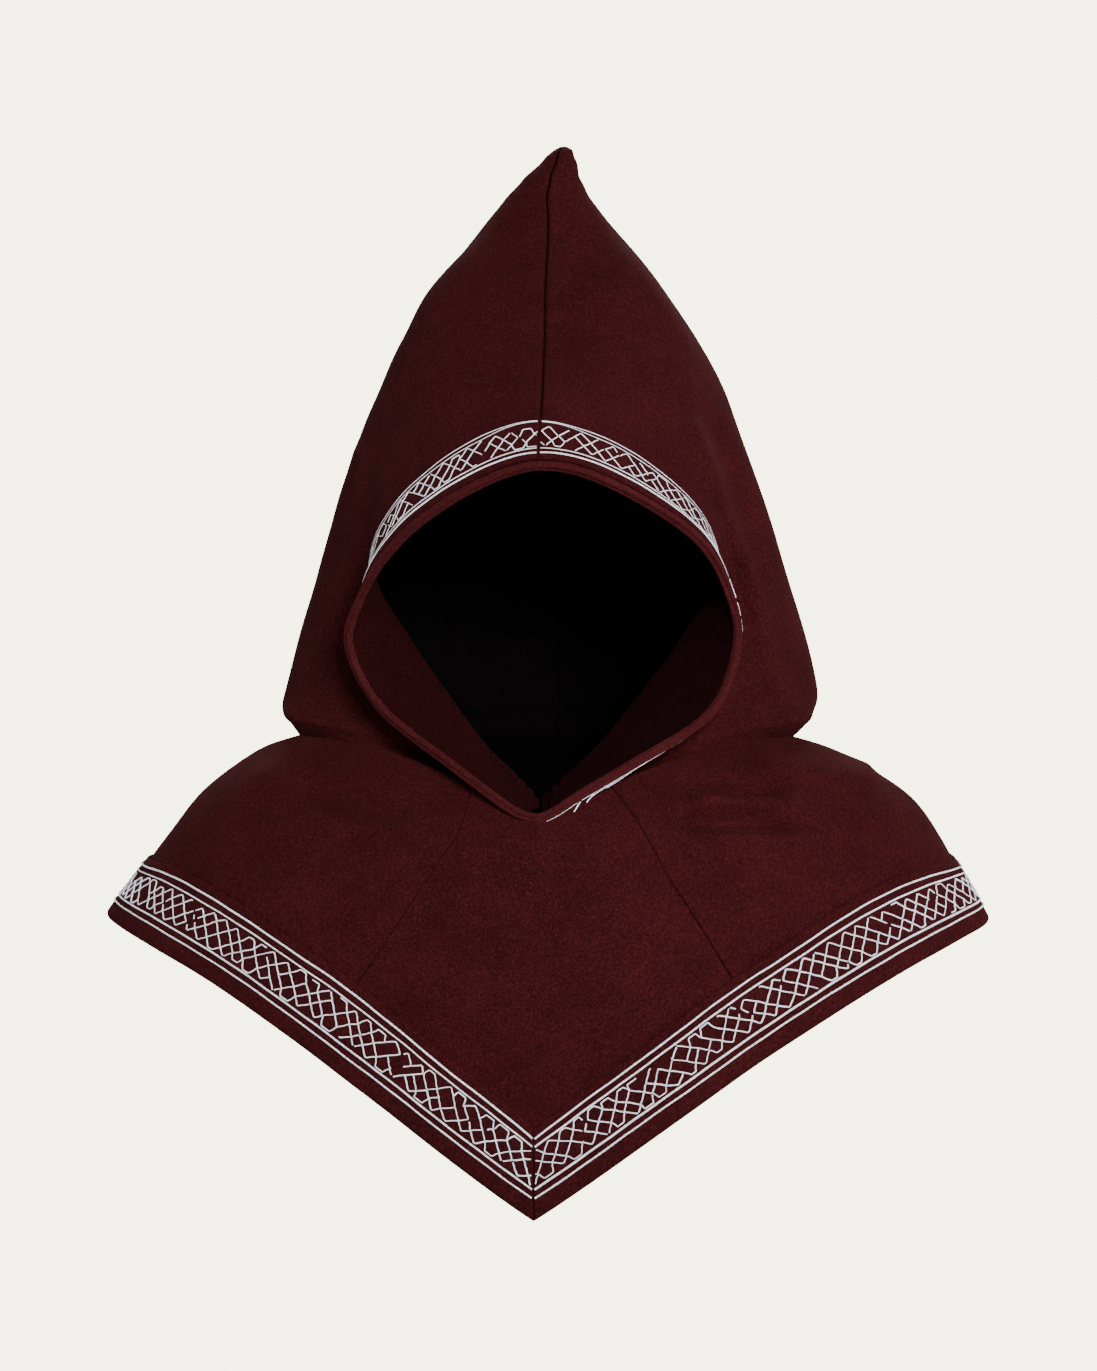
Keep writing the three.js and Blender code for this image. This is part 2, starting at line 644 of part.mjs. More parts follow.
for (const [name, side] of [['left', -1], ['right', 1]]) {
  addPiece(`hood_${name}`, hoodHalf(side), WOOL_COLOUR, 0.95);
  addPiece(`face_band_${name}`, faceBand(side), WOOL_COLOUR, 0.95);
  addPiece(`face_binding_${name}`, faceBinding(side), EDGE_COLOUR, 0.95);
  addPiece(`cape_${name}`, capeSide(side), WOOL_COLOUR, 0.95);
  addPiece(`hem_band_front_${name}`, hemBand(side, 0, SIDE_MIDDLE), WOOL_COLOUR, 0.95);
  addPiece(`hem_band_back_${name}`, hemBand(side, SIDE_MIDDLE, LAST_COLUMN), WOOL_COLOUR, 0.95);
}
addPiece('cape_front', capeFront(), WOOL_COLOUR, 0.95);
addPiece('cape_back', capeBack(), WOOL_COLOUR, 0.95);

export default hood;
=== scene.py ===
# A wool hood with a pointed crown and a shoulder cape, as it is worn. Metres in Blender, +Z up, the face
# towards -Y. The tables below are in millimetres, and MM turns them into metres.
import math
import random

import bpy
import numpy as np
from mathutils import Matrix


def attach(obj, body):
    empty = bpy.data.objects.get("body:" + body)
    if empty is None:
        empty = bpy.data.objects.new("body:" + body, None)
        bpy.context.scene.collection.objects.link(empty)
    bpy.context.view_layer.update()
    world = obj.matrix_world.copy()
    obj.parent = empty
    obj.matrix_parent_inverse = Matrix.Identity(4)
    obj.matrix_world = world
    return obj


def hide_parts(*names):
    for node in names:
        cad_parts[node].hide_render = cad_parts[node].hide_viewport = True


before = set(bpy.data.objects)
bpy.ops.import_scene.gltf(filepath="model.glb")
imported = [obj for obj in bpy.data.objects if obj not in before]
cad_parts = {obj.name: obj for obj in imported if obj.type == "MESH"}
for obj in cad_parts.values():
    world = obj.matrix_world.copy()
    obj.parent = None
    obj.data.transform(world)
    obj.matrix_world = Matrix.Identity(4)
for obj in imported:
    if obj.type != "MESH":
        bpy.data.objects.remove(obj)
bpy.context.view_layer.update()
bpy.ops.object.select_all(action="DESELECT")
MM = 0.001
SIDES = {1: "right", -1: "left"}  # as seen from the front: the right is towards +X

# The hood proper: two halves of thick fulled wool, cut alike and sewn together along the ridge, round
# the blunt tip and down the back. The seam is opened flat inside and shows as a narrow groove outside.
# It keeps the shape of wear, so the sides stand out in soft folds and close in a V at the throat.
WOOL_THICKNESS = 2.2
BINDING_WIDTH = 4.0
BINDING_CLEARANCE = 0.6
FACE_EDGE_DISTANCE = BINDING_WIDTH + BINDING_CLEARANCE
STEP = 1e-3

# Half of the hood. Rows run down from the ridge to just above the neck, columns from the face edge to
# the back seam: face, cheek, fold, crown, side, rear, seam. Each point is x (outwards), y, z. The
# cheeks lie in a deep fold, because the face edge turns outwards there like a collar.
HOOD_SECTIONS = np.array([
    [[0, -88, -86], [0, -67, -55], [0, -28, -25], [0, 5, 8], [0, 36, 43], [0, 62, 85], [0, 78, 98]],
    [[44, -82, -97], [43, -60, -69], [48, -20, -29], [55, 22, 14], [37, 54, 44], [19, 77, 71], [0, 91, 84]],
    [[83, -67, -123], [81, -43, -107], [86, -7, -72], [90, 35, -36], [78, 81, -10], [44, 113, 12],
     [0, 124, 22]],
    [[101, -51, -154], [93, -21, -145], [108, 5, -122], [116, 43, -98], [102, 93, -82], [58, 135, -66],
     [0, 146, -56]],
    [[106, -45, -182], [74, -19, -180], [119, 3, -168], [134, 50, -154], [118, 103, -142],
     [68, 143, -128], [0, 154, -120]],
    [[92, -54, -217], [52, -35, -210], [120, -8, -208], [147, 36, -205], [128, 98, -196],
     [74, 135, -186], [0, 147, -178]],
    [[49, -83, -244], [33, -54, -234], [114, -22, -224], [146, 12, -220], [122, 78, -221],
     [70, 118, -221], [0, 131, -219]],
    [[20, -98, -259], [6, -68, -261], [108, -25, -230], [141, 6, -226], [119, 68, -227], [69, 109, -229],
     [0, 123, -229]],
], float)
CHEEK_COLUMN = 1 / 6
LEFT_FACE_EDGE = np.array([[0, -88, -86], [43, -82, -100], [78, -67, -127], [99, -51, -155],
                           [107, -45, -182], [88, -54, -215], [47, -83, -244], [22, -98, -260]], float)
# How round the ridge is in each column: 0 is a sharp fold and 1 a round one.
RIDGE_ROUNDNESS = np.array([1, 0.7, 0.45, 0.3, 0.3, 0.6, 1])
# Sideways lean by height: z, shift of the ridge, shift of the sides.
LEAN = np.array([[-90, 0, 0], [-50, 0, -1], [-15, -1, -2], [15, -2, -3], [48, -1.8, -3], [65, -3, -2.5],
                 [75, -1.5, -0.5], [87, 1.8, 4.8], [98, 6, 7]], float)
LEAN_SIDE_X = 30
# The tip: how full each side is, and within what distance of the tip and of the seam that rounds off.
# The notch lies on the seam, and the drop takes down the very end.
TIP = (0, 78, 98)
TIP_FULLNESS = {1: 5.0, -1: 1.2}
TIP_REACH = 15.0
TIP_DOME = 9.0
TIP_SEAM = 2.5
TIP_NOTCH = dict(depth=0.9, reach=3.0, width=1.2)
TIP_DROP = dict(depth=1.2, reach=8.0)
# The ring where the hood is sewn to the cape, and the sections of the cape below it: half widths,
# depths and heights, how they curve, and how far from the middle the front seams cross them.
RING_SIZES = ("left", "right", "side_z", "front_y", "front_z", "back_y", "back_z", "front_power", "back_power",
              "drop_power", "seam_left", "seam_right")
CAPE_SECTIONS = [dict(zip(RING_SIZES, sizes)) for sizes in (
    (136, 134, -232, -105, -270, 115, -238, 1.9, 1, 4),
    (160, 163, -241, -113, -286, 131, -256, 1.45, 0.98, 3, 50, 61),
    (187, 194, -261, -121, -315, 145, -288, 1.15, 0.95, 2.4, 71, 81),
    (208, 214, -286, -127, -355, 153, -335, 0.97, 0.92, 2, 98, 106),
    (224, 228, -309, -131, -405, 156, -395, 0.92, 0.9, 2, 126, 132),
    (240, 240, -331, -133, -460, 156, -455, 0.9, 0.9, 2, 144, 149),
    (256, 256, -360, -134, -520, 155, -515, 0.9, 0.9, 2, 154, 158),
)]
FRONT_SEAM_COLUMN = 0.19
# Folds in the front view: from x, z to x, z, with height and half width. A hollow has a height below 0.
FOLDS = [
    ((80, -62), (108, -136), 4.6, 4.5),
    ((93, -64), (118, -140), -4.4, 6),
    ((108, -138), (123, -206), 3.8, 5),
    ((-104, -80), (-110, -150), 2.2, 7),
    ((118, -246), (172, -251), 3.6, 6),
    ((80, -251), (124, -256), -9.0, 4.5),
    ((84, -261), (132, -263), 6.0, 4),
    ((80, -270), (126, -272), -7.5, 4.5),
    ((92, -279), (134, -281), 4.5, 4.5),
    ((80, -294), (150, -296), -2.4, 9),
    ((-150, -252), (-128, -249), 3.6, 7),
    ((-124, -257), (-76, -268), -5.0, 5.5),
    ((-118, -270), (-84, -278), 2.8, 5.5),
]
# The folds end between these depths. Those of the hood, above a height, are pushed forward, and those of
# the cape outward.
FOLDS_END_Y = (35, 95)
HOOD_FOLDS_ABOVE = -235
FORWARD = (0, -80, 25)
FORWARD_SPREAD = (0.35, 0, 0)
OUTWARD_RISE = 60
# The unevenness of the fall is made of ripples. One as long as RIPPLE_LENGTH is RIPPLE_HEIGHT high.
RIPPLE_COUNT = 14
RIPPLE_LENGTHS = (34, 90)
RIPPLE_LENGTH = 60
RIPPLE_HEIGHT = 0.22
# The bottom of the face opening: how far it bends and how round, and how far the bend is let down.
THROAT = (0, -103, -268)
THROAT_REACH = 17
THROAT_ROUND = 5.0
THROAT_SLOPE = 0.55
THROAT_DROP = dict(depth=4.5, width=25)
# There the cloth runs on inside the binding, more and more between these rows, and lies in short pleats
# inside, between these limits of y, of -y and of -z.
THROAT_OVERLAP = 4.2
THROAT_OVERLAP_ROWS = (0.8, 0.93)
PLEAT_SPACING = 4.6
PLEAT_DEPTH = 1.7
PLEATED_WIDTH = 15
PLEATED_LIMITS = ((-104, -96), (52, 64), (236, 246))
RIDGE_GROOVE = dict(width=3.4, depth=1.5)
BACK_GROOVE = dict(width=2.6, depth=0.8)
SEAM_GAP = dict(width=1.5, depth=2.3)
GROOVE_INSIDE = 0.55
NECK_MITRE_LEAST = 0.35
# The grid of a half, in rows and columns: how many, over what length, and how they draw towards the face.
HOOD_GRID = (180, 150)
HOOD_LENGTHS = (330, 300)
COLUMN_SPREAD = 1.2
# From this column back, the inside of the hood is painted black as painted shade.
PAINTED_BLACK_FROM_COLUMN = CHEEK_COLUMN + 0.025
SEAM_STATIONS = np.array([0.25, 0.6, 1.0, 1.5, 2.2, 3.2])
CREASE = math.radians(50)


def smoothstep(x, low, high):
    t = np.clip((x - low) / (high - low), 0, 1)
    return t * t * (3 - 2 * t)


def bell(distance, width):
    return np.exp(-(distance / width) ** 2)


def unit(vectors):
    return vectors / np.linalg.norm(vectors, axis=-1, keepdims=True)


def spline_shares(place, count):
    """The share of each of count evenly spaced stations in a smooth curve, at each place along it."""
    place = np.atleast_1d(np.asarray(place, float))
    first = np.clip(np.floor(place).astype(int), 0, count - 2)
    t = place - first
    basis = [(-t + 2 * t**2 - t**3) / 2, 1 - 2.5 * t**2 + 1.5 * t**3,
             (t + 4 * t**2 - 3 * t**3) / 2, (t**3 - t**2) / 2]
    shares = np.zeros((len(place), count))
    line = np.arange(len(place))
    for offset, share in zip((-1, 0, 1, 2), basis):
        station = first + offset
        inside = np.clip(station, 0, count - 1)
        beyond = station != inside
        np.add.at(shares, (line, inside), np.where(beyond, 2 * share, share))
        np.add.at(shares, (line, np.clip(2 * inside - station, 0, count - 1)), np.where(beyond, -share, 0))
    return shares


def ring_point(ring, angle):
    """A point of a ring round the shoulders at an angle from the front, positive towards +X."""
    sine, cosine = np.sin(angle), np.cos(angle)
    front = cosine > 0
    half_width = np.where(sine > 0, ring["right"], ring["left"])
    depth = np.where(front, ring["front_y"], ring["back_y"])
    middle_z = np.where(front, ring["front_z"], ring["back_z"])
    power = np.where(front, ring["front_power"], ring["back_power"])
    drop = np.abs(cosine) ** np.where(front, ring["drop_power"], 2)
    return np.stack([
        half_width * np.sign(sine) * np.abs(sine) ** power,
        depth * np.abs(cosine) ** power,
        ring["side_z"] + drop * (middle_z - ring["side_z"]),
    ], -1)


chance = random.Random(5)
ripples = []
for number in range(RIPPLE_COUNT):
    way = np.array([chance.gauss(0, 1), chance.gauss(0, 1), chance.gauss(0, 0.5)])
    length = chance.uniform(*RIPPLE_LENGTHS)
    ripples.append((way / np.linalg.norm(way) * math.tau / length, chance.uniform(0, math.tau),
                    RIPPLE_HEIGHT * length / RIPPLE_LENGTH))


def drape(points):
    """Raises the folds of the cloth, and the slight unevenness of its fall."""
    height = np.zeros(len(points))
    for start, end, fold_height, width in FOLDS:
        line = np.subtract(end, start)
        offset = points[:, [0, 2]] - start
        along = np.clip(offset @ line / (line @ line), 0, 1)
        beside = np.linalg.norm(offset - along[:, None] * line, axis=1)
        height += fold_height * bell(beside, width)
    height *= 1 - smoothstep(points[:, 1], *FOLDS_END_Y)
    unevenness = sum(ripple_height * np.sin(points @ wave + phase) for wave, phase, ripple_height in ripples)
    x, y, z = points.T
    outward = points * (1, 1, 0) + (0, 0, OUTWARD_RISE)
    forward = points * FORWARD_SPREAD + FORWARD
    draped = points + unit(outward) * unevenness[:, None]
    draped += unit(np.where((z > HOOD_FOLDS_ABOVE)[:, None], forward, outward)) * height[:, None]
    # The bottom of the face opening is a round bend, not a point.
    near = np.exp(-(((y - THROAT[1]) ** 2 + (z - THROAT[2]) ** 2) / THROAT_REACH ** 2))
    slope = THROAT_SLOPE * np.abs(x)
    let_down = THROAT_DROP["depth"] * bell(x, THROAT_DROP["width"])
    draped[:, 2] += near * (np.hypot(slope, THROAT_ROUND) - slope - let_down)
    return draped


def hood_point(side, row, column):
    """Points of one half of the hood. row runs from the ridge (0) to the neck (1)."""
    row, column = np.broadcast_arrays(np.asarray(row, float), np.asarray(column, float))
    lines = HOOD_SECTIONS.copy()
    if side < 0:
        lines[:, 0] = LEFT_FACE_EDGE
    sharp = 2 * lines[0] - lines[1]
    beyond = sharp + (lines[1] * (-1, 1, 1) - sharp) * RIDGE_ROUNDNESS[:, None]
    lines = np.concatenate([beyond[None], lines])
    across = spline_shares(column * (lines.shape[1] - 1), lines.shape[1])
    down = spline_shares(1 + row * (len(lines) - 1), len(lines) + 1)
    points = np.einsum("nk,nj,kjc->nc", down[:, :-1], across, lines)
    neck = ring_point(CAPE_SECTIONS[0], side * math.pi * column)
    neck[:, 0] = np.abs(neck[:, 0])
    points += down[:, -1:] * neck
    # Seam allowances fill the tip, which is blunt, with a hump on each side of the seam.
    full, across = TIP_FULLNESS[side], np.maximum(points[:, 0], 0)
    below = np.hypot(points[:, 1] - TIP[1], points[:, 2] - TIP[2])
    rounded = full * np.sqrt(1 - (1 - np.clip(below / TIP_DOME, 0, 1)) ** 2)
    rounded *= bell(below, TIP_REACH)
    points[:, 0] = (across + rounded * smoothstep(across, 0, TIP_SEAM)) * side
    notch = TIP_NOTCH["depth"] * bell(below, TIP_NOTCH["reach"])
    points[:, 2] -= notch * (1 - smoothstep(across, 0, TIP_NOTCH["width"]))
    points[:, 2] -= TIP_DROP["depth"] * bell(below, TIP_DROP["reach"])
    return drape(points)


def column_angle(ring, side, column):
    """The angle at which a column crosses a ring, spread so that the front seam crosses in its place."""
    if "seam_left" not in ring:
        return math.pi * column
    seam_x, half_width = ((ring["seam_right"], ring["right"]) if side > 0
                          else (ring["seam_left"], ring["left"]))
    seam_angle = math.asin((seam_x / half_width) ** (1 / ring["front_power"]))
    stations = [-FRONT_SEAM_COLUMN, 0, FRONT_SEAM_COLUMN, 0.5, 1, 1.5]
    return np.interp(column, stations, [-seam_angle, 0, seam_angle, math.pi / 2, math.pi, math.pi * 1.5])


def cape_shape(side, depth, column):
    depth, column = np.broadcast_arrays(np.asarray(depth, float), np.asarray(column, float))
    shares = spline_shares(depth, len(CAPE_SECTIONS))
    return sum(share[:, None] * ring_point(ring, side * column_angle(ring, side, column))
               for share, ring in zip(shares.T, CAPE_SECTIONS))


def cape_point(side, depth, column):
    """Points of the cape. depth counts the sections from the neck, column runs from front to back."""
    return drape(cape_shape(side, depth, column))


def surface_normal(surface, side, a, b):
    """Outward unit normals of surface(side, a, b), a running down and b back from the face."""
    a, b = np.broadcast_arrays(np.asarray(a, float), np.asarray(b, float))
    step_a = np.where(a < 0.5, STEP, -STEP)
    step_b = np.where(b < 0.5, STEP, -STEP)
    here = surface(side, a, b)
    along_a = (surface(side, a + step_a, b) - here) / step_a[:, None]
    along_b = (surface(side, a, b + step_b) - here) / step_b[:, None]
    return unit(np.cross(along_a, along_b)) * side


def points_and_normals(surface, side, a, b):
    """The same for grids of a and b, with the points themselves, in the shape of the grids."""
    shape, a, b = (*b.shape, 3), a.ravel(), b.ravel()
    return surface(side, a, b).reshape(shape), surface_normal(surface, side, a, b).reshape(shape)


face_edges = {side: hood_point(side, np.linspace(0, 1, 97), 0.0) for side in SIDES}


def distance_from_face(side, points):
    start, end = face_edges[side][:-1], face_edges[side][1:]
    line = end - start
    offset = points[:, None] - start
    along = np.clip((offset * line).sum(-1) / (line * line).sum(-1), 0, 1)
    return np.linalg.norm(offset - along[..., None] * line, axis=-1).min(1)


def column_from_face(side, row, distance):
    """The first column of the hood at a distance from the face edge, found by halving. It lies before
    the bottom of the fold behind the edge, where that is deep enough."""
    cheek = hood_point(side, row, np.full(len(row), CHEEK_COLUMN))
    near, far = np.zeros(len(row)), np.where(distance_from_face(side, cheek) < distance, 0.5, CHEEK_COLUMN)
    for halving in range(18):
        middle = (near + far) / 2
        closer = distance_from_face(side, hood_point(side, row, middle)) < distance
        near, far = np.where(closer, middle, near), np.where(closer, far, middle)
    return (near + far) / 2


def with_fine_ends(count, length, start=True, end=True):
    """Shares from 0 to 1, evenly spread but close together within a few millimetres of the seams."""
    fine = SEAM_STATIONS / length
    even_from = fine[-1] * 1.4
    shares = list(np.linspace(0, 1, count))
    if start:
        shares = [0, *fine, *[s for s in shares if s > even_from]]
    if end:
        shares = [*[s for s in shares if s < 1 - even_from], *(1 - fine[::-1]), 1]
    return np.array(shares)


def groove(distance, width, depth):
    """How deep the cloth rolls in towards a seam, at a distance from it."""
    return depth * np.clip(1 - distance / width, 0, 1) ** 2


def lean(points):
    z = points[..., 2]
    upper = np.clip(np.searchsorted(LEAN[:, 0], z, side="right"), 1, len(LEAN) - 1)
    share = smoothstep(z, LEAN[upper - 1, 0], LEAN[upper, 0])
    ridge, sides = (LEAN[upper - 1, k] + share * (LEAN[upper, k] - LEAN[upper - 1, k]) for k in (1, 2))
    shifted = points.copy()
    shifted[..., 0] += ridge + smoothstep(np.abs(points[..., 0]), 0, LEAN_SIDE_X) * (sides - ridge)
    return shifted


def grid_piece(name, rows, columns):
    """A new piece, flat as yet, and the row and the column of each of its points."""
    bpy.ops.mesh.primitive_grid_add(x_subdivisions=rows - 1, y_subdivisions=columns - 1, size=2)
    piece = bpy.context.object
    piece.name = piece.data.name = name
    places = np.empty(len(piece.data.vertices) * 3)
    piece.data.vertices.foreach_get("co", places)
    places = (places.reshape(-1, 3) + 1) / 2
    row, column = (np.rint(places[:, k] * (count - 1)).astype(int) for k, count in enumerate((rows, columns)))
    return piece, row, column


def face_corners(mesh):
    corners = np.empty(len(mesh.loops), int)
    mesh.loops.foreach_get("vertex_index", corners)
    return corners


def cloth_shell(name, outer, inner, side, keep_beyond=None, inner_finish=None):
    """A closed piece of cloth between two grids of points, in millimetres. keep_beyond holds it on its
    own side of the seam plane x = 0, and inner_finish numbers the finishes of the inner side."""
    piece, row, column = grid_piece(name, *outer.shape[:2])
    down, along = (np.insert(np.linalg.norm(np.diff(outer, axis=k), axis=2).mean(1 - k).cumsum(), 0, 0)
                   for k in (0, 1))
    corners = face_corners(piece.data)
    weave = np.stack([down[row[corners]], along[column[corners]]], 1) * MM
    piece.data.uv_layers[0].data.foreach_set("uv", weave.ravel())
    both = [outer[row, column], inner[row, column]]
    if keep_beyond is not None:
        for layer in both:
            layer[:, 0] = side * np.maximum(layer[:, 0] * side, keep_beyond)
        both = [lean(layer) for layer in both]
    piece.data.vertices.foreach_set("co", (both[0] * MM).ravel())
    if side < 0:
        piece.data.flip_normals()
    wall = piece.modifiers.new("wall", "SOLIDIFY")
    wall.thickness = WOOL_THICKNESS * MM
    bpy.ops.object.modifier_apply(modifier=wall.name)
    piece.data.vertices.foreach_set("co", (np.concatenate(both) * MM).ravel())
    if inner_finish is not None:
        corners = face_corners(piece.data).reshape(-1, 4)
        at = np.maximum(corners[:, 0] - len(row), 0)
        finish = np.where(corners.min(1) >= len(row), inner_finish[row[at], column[at]], 0)
        piece.data.polygons.foreach_set("material_index", finish)
    piece.data.update()
    bpy.ops.object.shade_smooth_by_angle(angle=CREASE)
    return piece


def throat_pleats(points):
    """How deep the short pleats are that take up the fullness inside, at the bottom of the opening."""
    x, y, z = points.T
    pleated = np.exp(-(x / PLEATED_WIDTH) ** 4)
    for place, limits in zip((y, -y, -z), PLEATED_LIMITS):
        pleated *= smoothstep(place, *limits)
    return PLEAT_DEPTH * pleated * (0.5 + 0.5 * np.cos(math.tau * (x - 1) / PLEAT_SPACING)) ** 2


def seam_normal(normal):
    """The direction straight into a seam that lies in the plane x = 0."""
    return unit(normal * (0, 1, 1) + (0, STEP, STEP))


def neck_mitre(side, column):
    """Into the cloth along the neck seam, halfway between the hood and the cape."""
    hood = surface_normal(hood_point, side, 1.0, column)
    cape = surface_normal(cape_point, side, 0.0, column)
    return (hood + cape) / np.maximum(1 + (hood * cape).sum(-1, keepdims=True), NECK_MITRE_LEAST)


hood_cloths = {}
for side, name in SIDES.items():
    down = with_fine_ends(HOOD_GRID[0], HOOD_LENGTHS[0], end=False)
    back = with_fine_ends(HOOD_GRID[1], HOOD_LENGTHS[1], start=False) ** COLUMN_SPREAD
    # At the throat the cloth runs on inside the binding, so that the halves meet there.
    overlap = THROAT_OVERLAP * smoothstep(down, *THROAT_OVERLAP_ROWS)
    first = column_from_face(side, down, FACE_EDGE_DISTANCE - overlap)
    row = np.repeat(down, len(back))
    column = (first[:, None] + (1 - first[:, None]) * back).ravel()
    points = hood_point(side, row, column)
    normals = surface_normal(hood_point, side, row, column)
    normals[-len(back):] = neck_mitre(side, column[-len(back):])
    from_ridge = np.linalg.norm(points - hood_point(side, 0 * row, column), axis=1)
    from_back = np.linalg.norm(points - hood_point(side, row, 1 + 0 * column), axis=1)
    dip = np.maximum(groove(from_ridge, **RIDGE_GROOVE), groove(from_back, **BACK_GROOVE))
    dip += groove(np.minimum(from_ridge, from_back), **SEAM_GAP)
    outer = points - dip[:, None] * seam_normal(normals)
    inner = points - (WOOL_THICKNESS + GROOVE_INSIDE * dip - throat_pleats(points))[:, None] * normals
    shape = (len(down), len(back), 3)
    # Inside, the wool shows as far as the bottom of the fold, and behind that the cloth is painted black as
    # painted shade.
    finish = np.where(column.reshape(shape[:2]) < PAINTED_BLACK_FROM_COLUMN, 1, 2)
    hood_cloths[side] = cloth_shell(f"hood_cloth_{name}", outer.reshape(shape), inner.reshape(shape), side, 0,
                                    finish)

# The wool is dark burgundy, woven and then fulled until it is nearly a felt: a fine matt grain with
# lighter reddish flecks, a soft bloom of nap where it turns away, and a trace of the twill beneath.
# Inside, its colour is darkened as painted shade, more on the right, and painted black as shade behind the
# fold.
WOOL_RED = (0.0275, 0.0038, 0.0047)
# What is left of the wool's colour inside, right and left: painted shade, darker on the right.
INNER_PAINTED_SHADE = {1: 0.24, -1: 0.5}
# The black of the inside: painted shade.
PAINTED_SHADE_BLACK = (0.0016, 0.0010, 0.0011)
PALE_HAIR = (2.6, 4.5, 4.5)
SHEEN_TINT = (0.85, 0.2, 0.22, 1)
PATCH_SCALE = 38
TWILL_SCALE = 320


def connect(tree, node, inputs):
    """Sets inputs of a node, each to a value or to what another node puts out."""
    for name, source in inputs.items():
        if isinstance(source, bpy.types.NodeSocket):
            tree.links.new(source, node.inputs[name])
        else:
            node.inputs[name].default_value = source


def add_node(tree, kind, inputs=None, **settings):
    node = tree.nodes.new("ShaderNode" + kind)
    for setting, value in settings.items():
        setattr(node, setting, value)
    connect(tree, node, inputs or {})
    return node


def noise(tree, scale, detail, rough):
    place = add_node(tree, "TexCoord").outputs["Object"]
    return add_node(tree, "TexNoise", {"Scale": scale, "Detail": detail, "Roughness": rough,
                                       "Vector": place}).outputs["Fac"]


def shades(tree, pattern, colour, stops):
    """Lays shades of a colour over a pattern. A stop is a place in the pattern and how light it is."""
    node = add_node(tree, "ValToRGB", {"Fac": pattern})
    elements = node.color_ramp.elements
    while len(elements) < len(stops):
        elements.new(0.5)
    for element, (at, shade) in zip(elements, stops):
        element.position = at
        element.color = (*[min(shade * c, 1) for c in colour], 1)
    return node.outputs["Color"]


def plain(tree, colour):
    node = add_node(tree, "RGB")
    node.outputs[0].default_value = (*colour, 1)
    return node.outputs[0]


def mix(tree, kind, share, a, b):
    node = add_node(tree, "Mix", {"Factor": share, "A": a, "B": b}, data_type="RGBA", blend_type=kind)
    return node.outputs["Result"]


def new_material(name):
    material = bpy.data.materials.new(name)
    material.use_nodes = True
    return material, material.node_tree


def fabric(name, colour, light, dark, grain, twill, fleck, sheen):
    """A wool surface. light and dark scale the colour in the grain, and fleck is the share of pale hairs."""
    material, tree = new_material(name)
    fibres = shades(tree, noise(tree, grain, 3, 0.6), colour, [(0.30, dark), (0.52, 1), (0.72, light)])
    patches = shades(tree, noise(tree, PATCH_SCALE, 3, 0.6), colour, [(0.3, 0.86), (0.7, 1.14)])
    evened = mix(tree, "MULTIPLY", 1, patches, plain(tree, [1 / c for c in colour]))
    cloth = mix(tree, "MULTIPLY", 1, fibres, evened)
    specks = shades(tree, noise(tree, grain * 1.35, 1, 0.6), (1, 1, 1), [(0.66, 0), (0.74, 1)])
    hairs = add_node(tree, "Math", {0: specks, 1: fleck}, operation="MULTIPLY").outputs[0]
    pale = plain(tree, [c * lift for c, lift in zip(colour, PALE_HAIR)])
    weave = add_node(tree, "TexWave", {"Scale": TWILL_SCALE, "Distortion": 1.2, "Detail": 2,
                                       "Vector": add_node(tree, "TexCoord").outputs["UV"]},
                     wave_type="BANDS", bands_direction="DIAGONAL")
    height = add_node(tree, "Math", {0: weave.outputs["Fac"], 1: twill, 2: noise(tree, grain * 0.9, 4, 0.7)},
                      operation="MULTIPLY_ADD")
    bump = add_node(tree, "Bump", {"Strength": 0.75, "Distance": 0.0006, "Height": height.outputs[0]})
    connect(tree, tree.nodes["Principled BSDF"], {
        "Base Color": mix(tree, "MIX", hairs, cloth, pale), "Normal": bump.outputs["Normal"],
        "Roughness": 0.92, "Specular IOR Level": 0.03,
        "Sheen Weight": sheen, "Sheen Roughness": 0.45, "Sheen Tint": SHEEN_TINT})
    return material


def settle(piece, node, slot, *finishes):
    """Finishes a piece, hangs it on the one body and hides the part of model.glb that it stands for. All
    the cloth is one body. slot is not used."""
    for finish in finishes:
        piece.data.materials.append(finish)
    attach(piece, "root")
    if node:
        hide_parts(node)


wool = fabric("fulled_wool", WOOL_RED, light=1.8, dark=0.5, grain=850, twill=0.25, fleck=0.45, sheen=0.025)
# The inside of each half: the same wool, its colour darkened as painted shade.
inner_wool_painted_shade = {side: fabric("wool_inside_painted_shade", [shade * c for c in WOOL_RED], light=1.6, dark=0.5, grain=850,
                           twill=0.25, fleck=0.3, sheen=0.01) for side, shade in INNER_PAINTED_SHADE.items()}
# Painted black as painted shade, for the inside of the hood behind the fold and of the cape.
black_inside_painted_shade = fabric("black_inside_painted_shade", PAINTED_SHADE_BLACK, light=1.3, dark=0.7, grain=850, twill=0.4, fleck=0.1,
                      sheen=0)
for side, name in SIDES.items():
    settle(hood_cloths[side], f"hood_{name}", "wool", wool, inner_wool_painted_shade[side], black_inside_painted_shade)

# The shoulder cape: a gore over the chest, one over the back and a panel round each shoulder, joined by
# narrow seams and sewn to the hood round the neck. The cloth falls over the shoulders and ends in a
# point at the front and at the back.
HEM = dict(point_z=-476, side_x=241, side_z=-331, bow_left=0.57, bow_right=0.45, bow_power=1.6)
PANEL_GROOVE = dict(width=1.3, depth=1.3)
GROOVE_BENEATH = 0.3
PANEL_ROWS = 80
WOOL_END = 2.4
# At the neck, the front seams lie a third of the way across a strip behind the binding. From that strip
# to the middle of the back are 14 parts, with the corner of the hem after 4 and the back seam after 11.
SEAM_STRIP = 25.0
NECK_PARTS, ARM_PARTS, BACK_SEAM_PARTS = 14, 4, 11


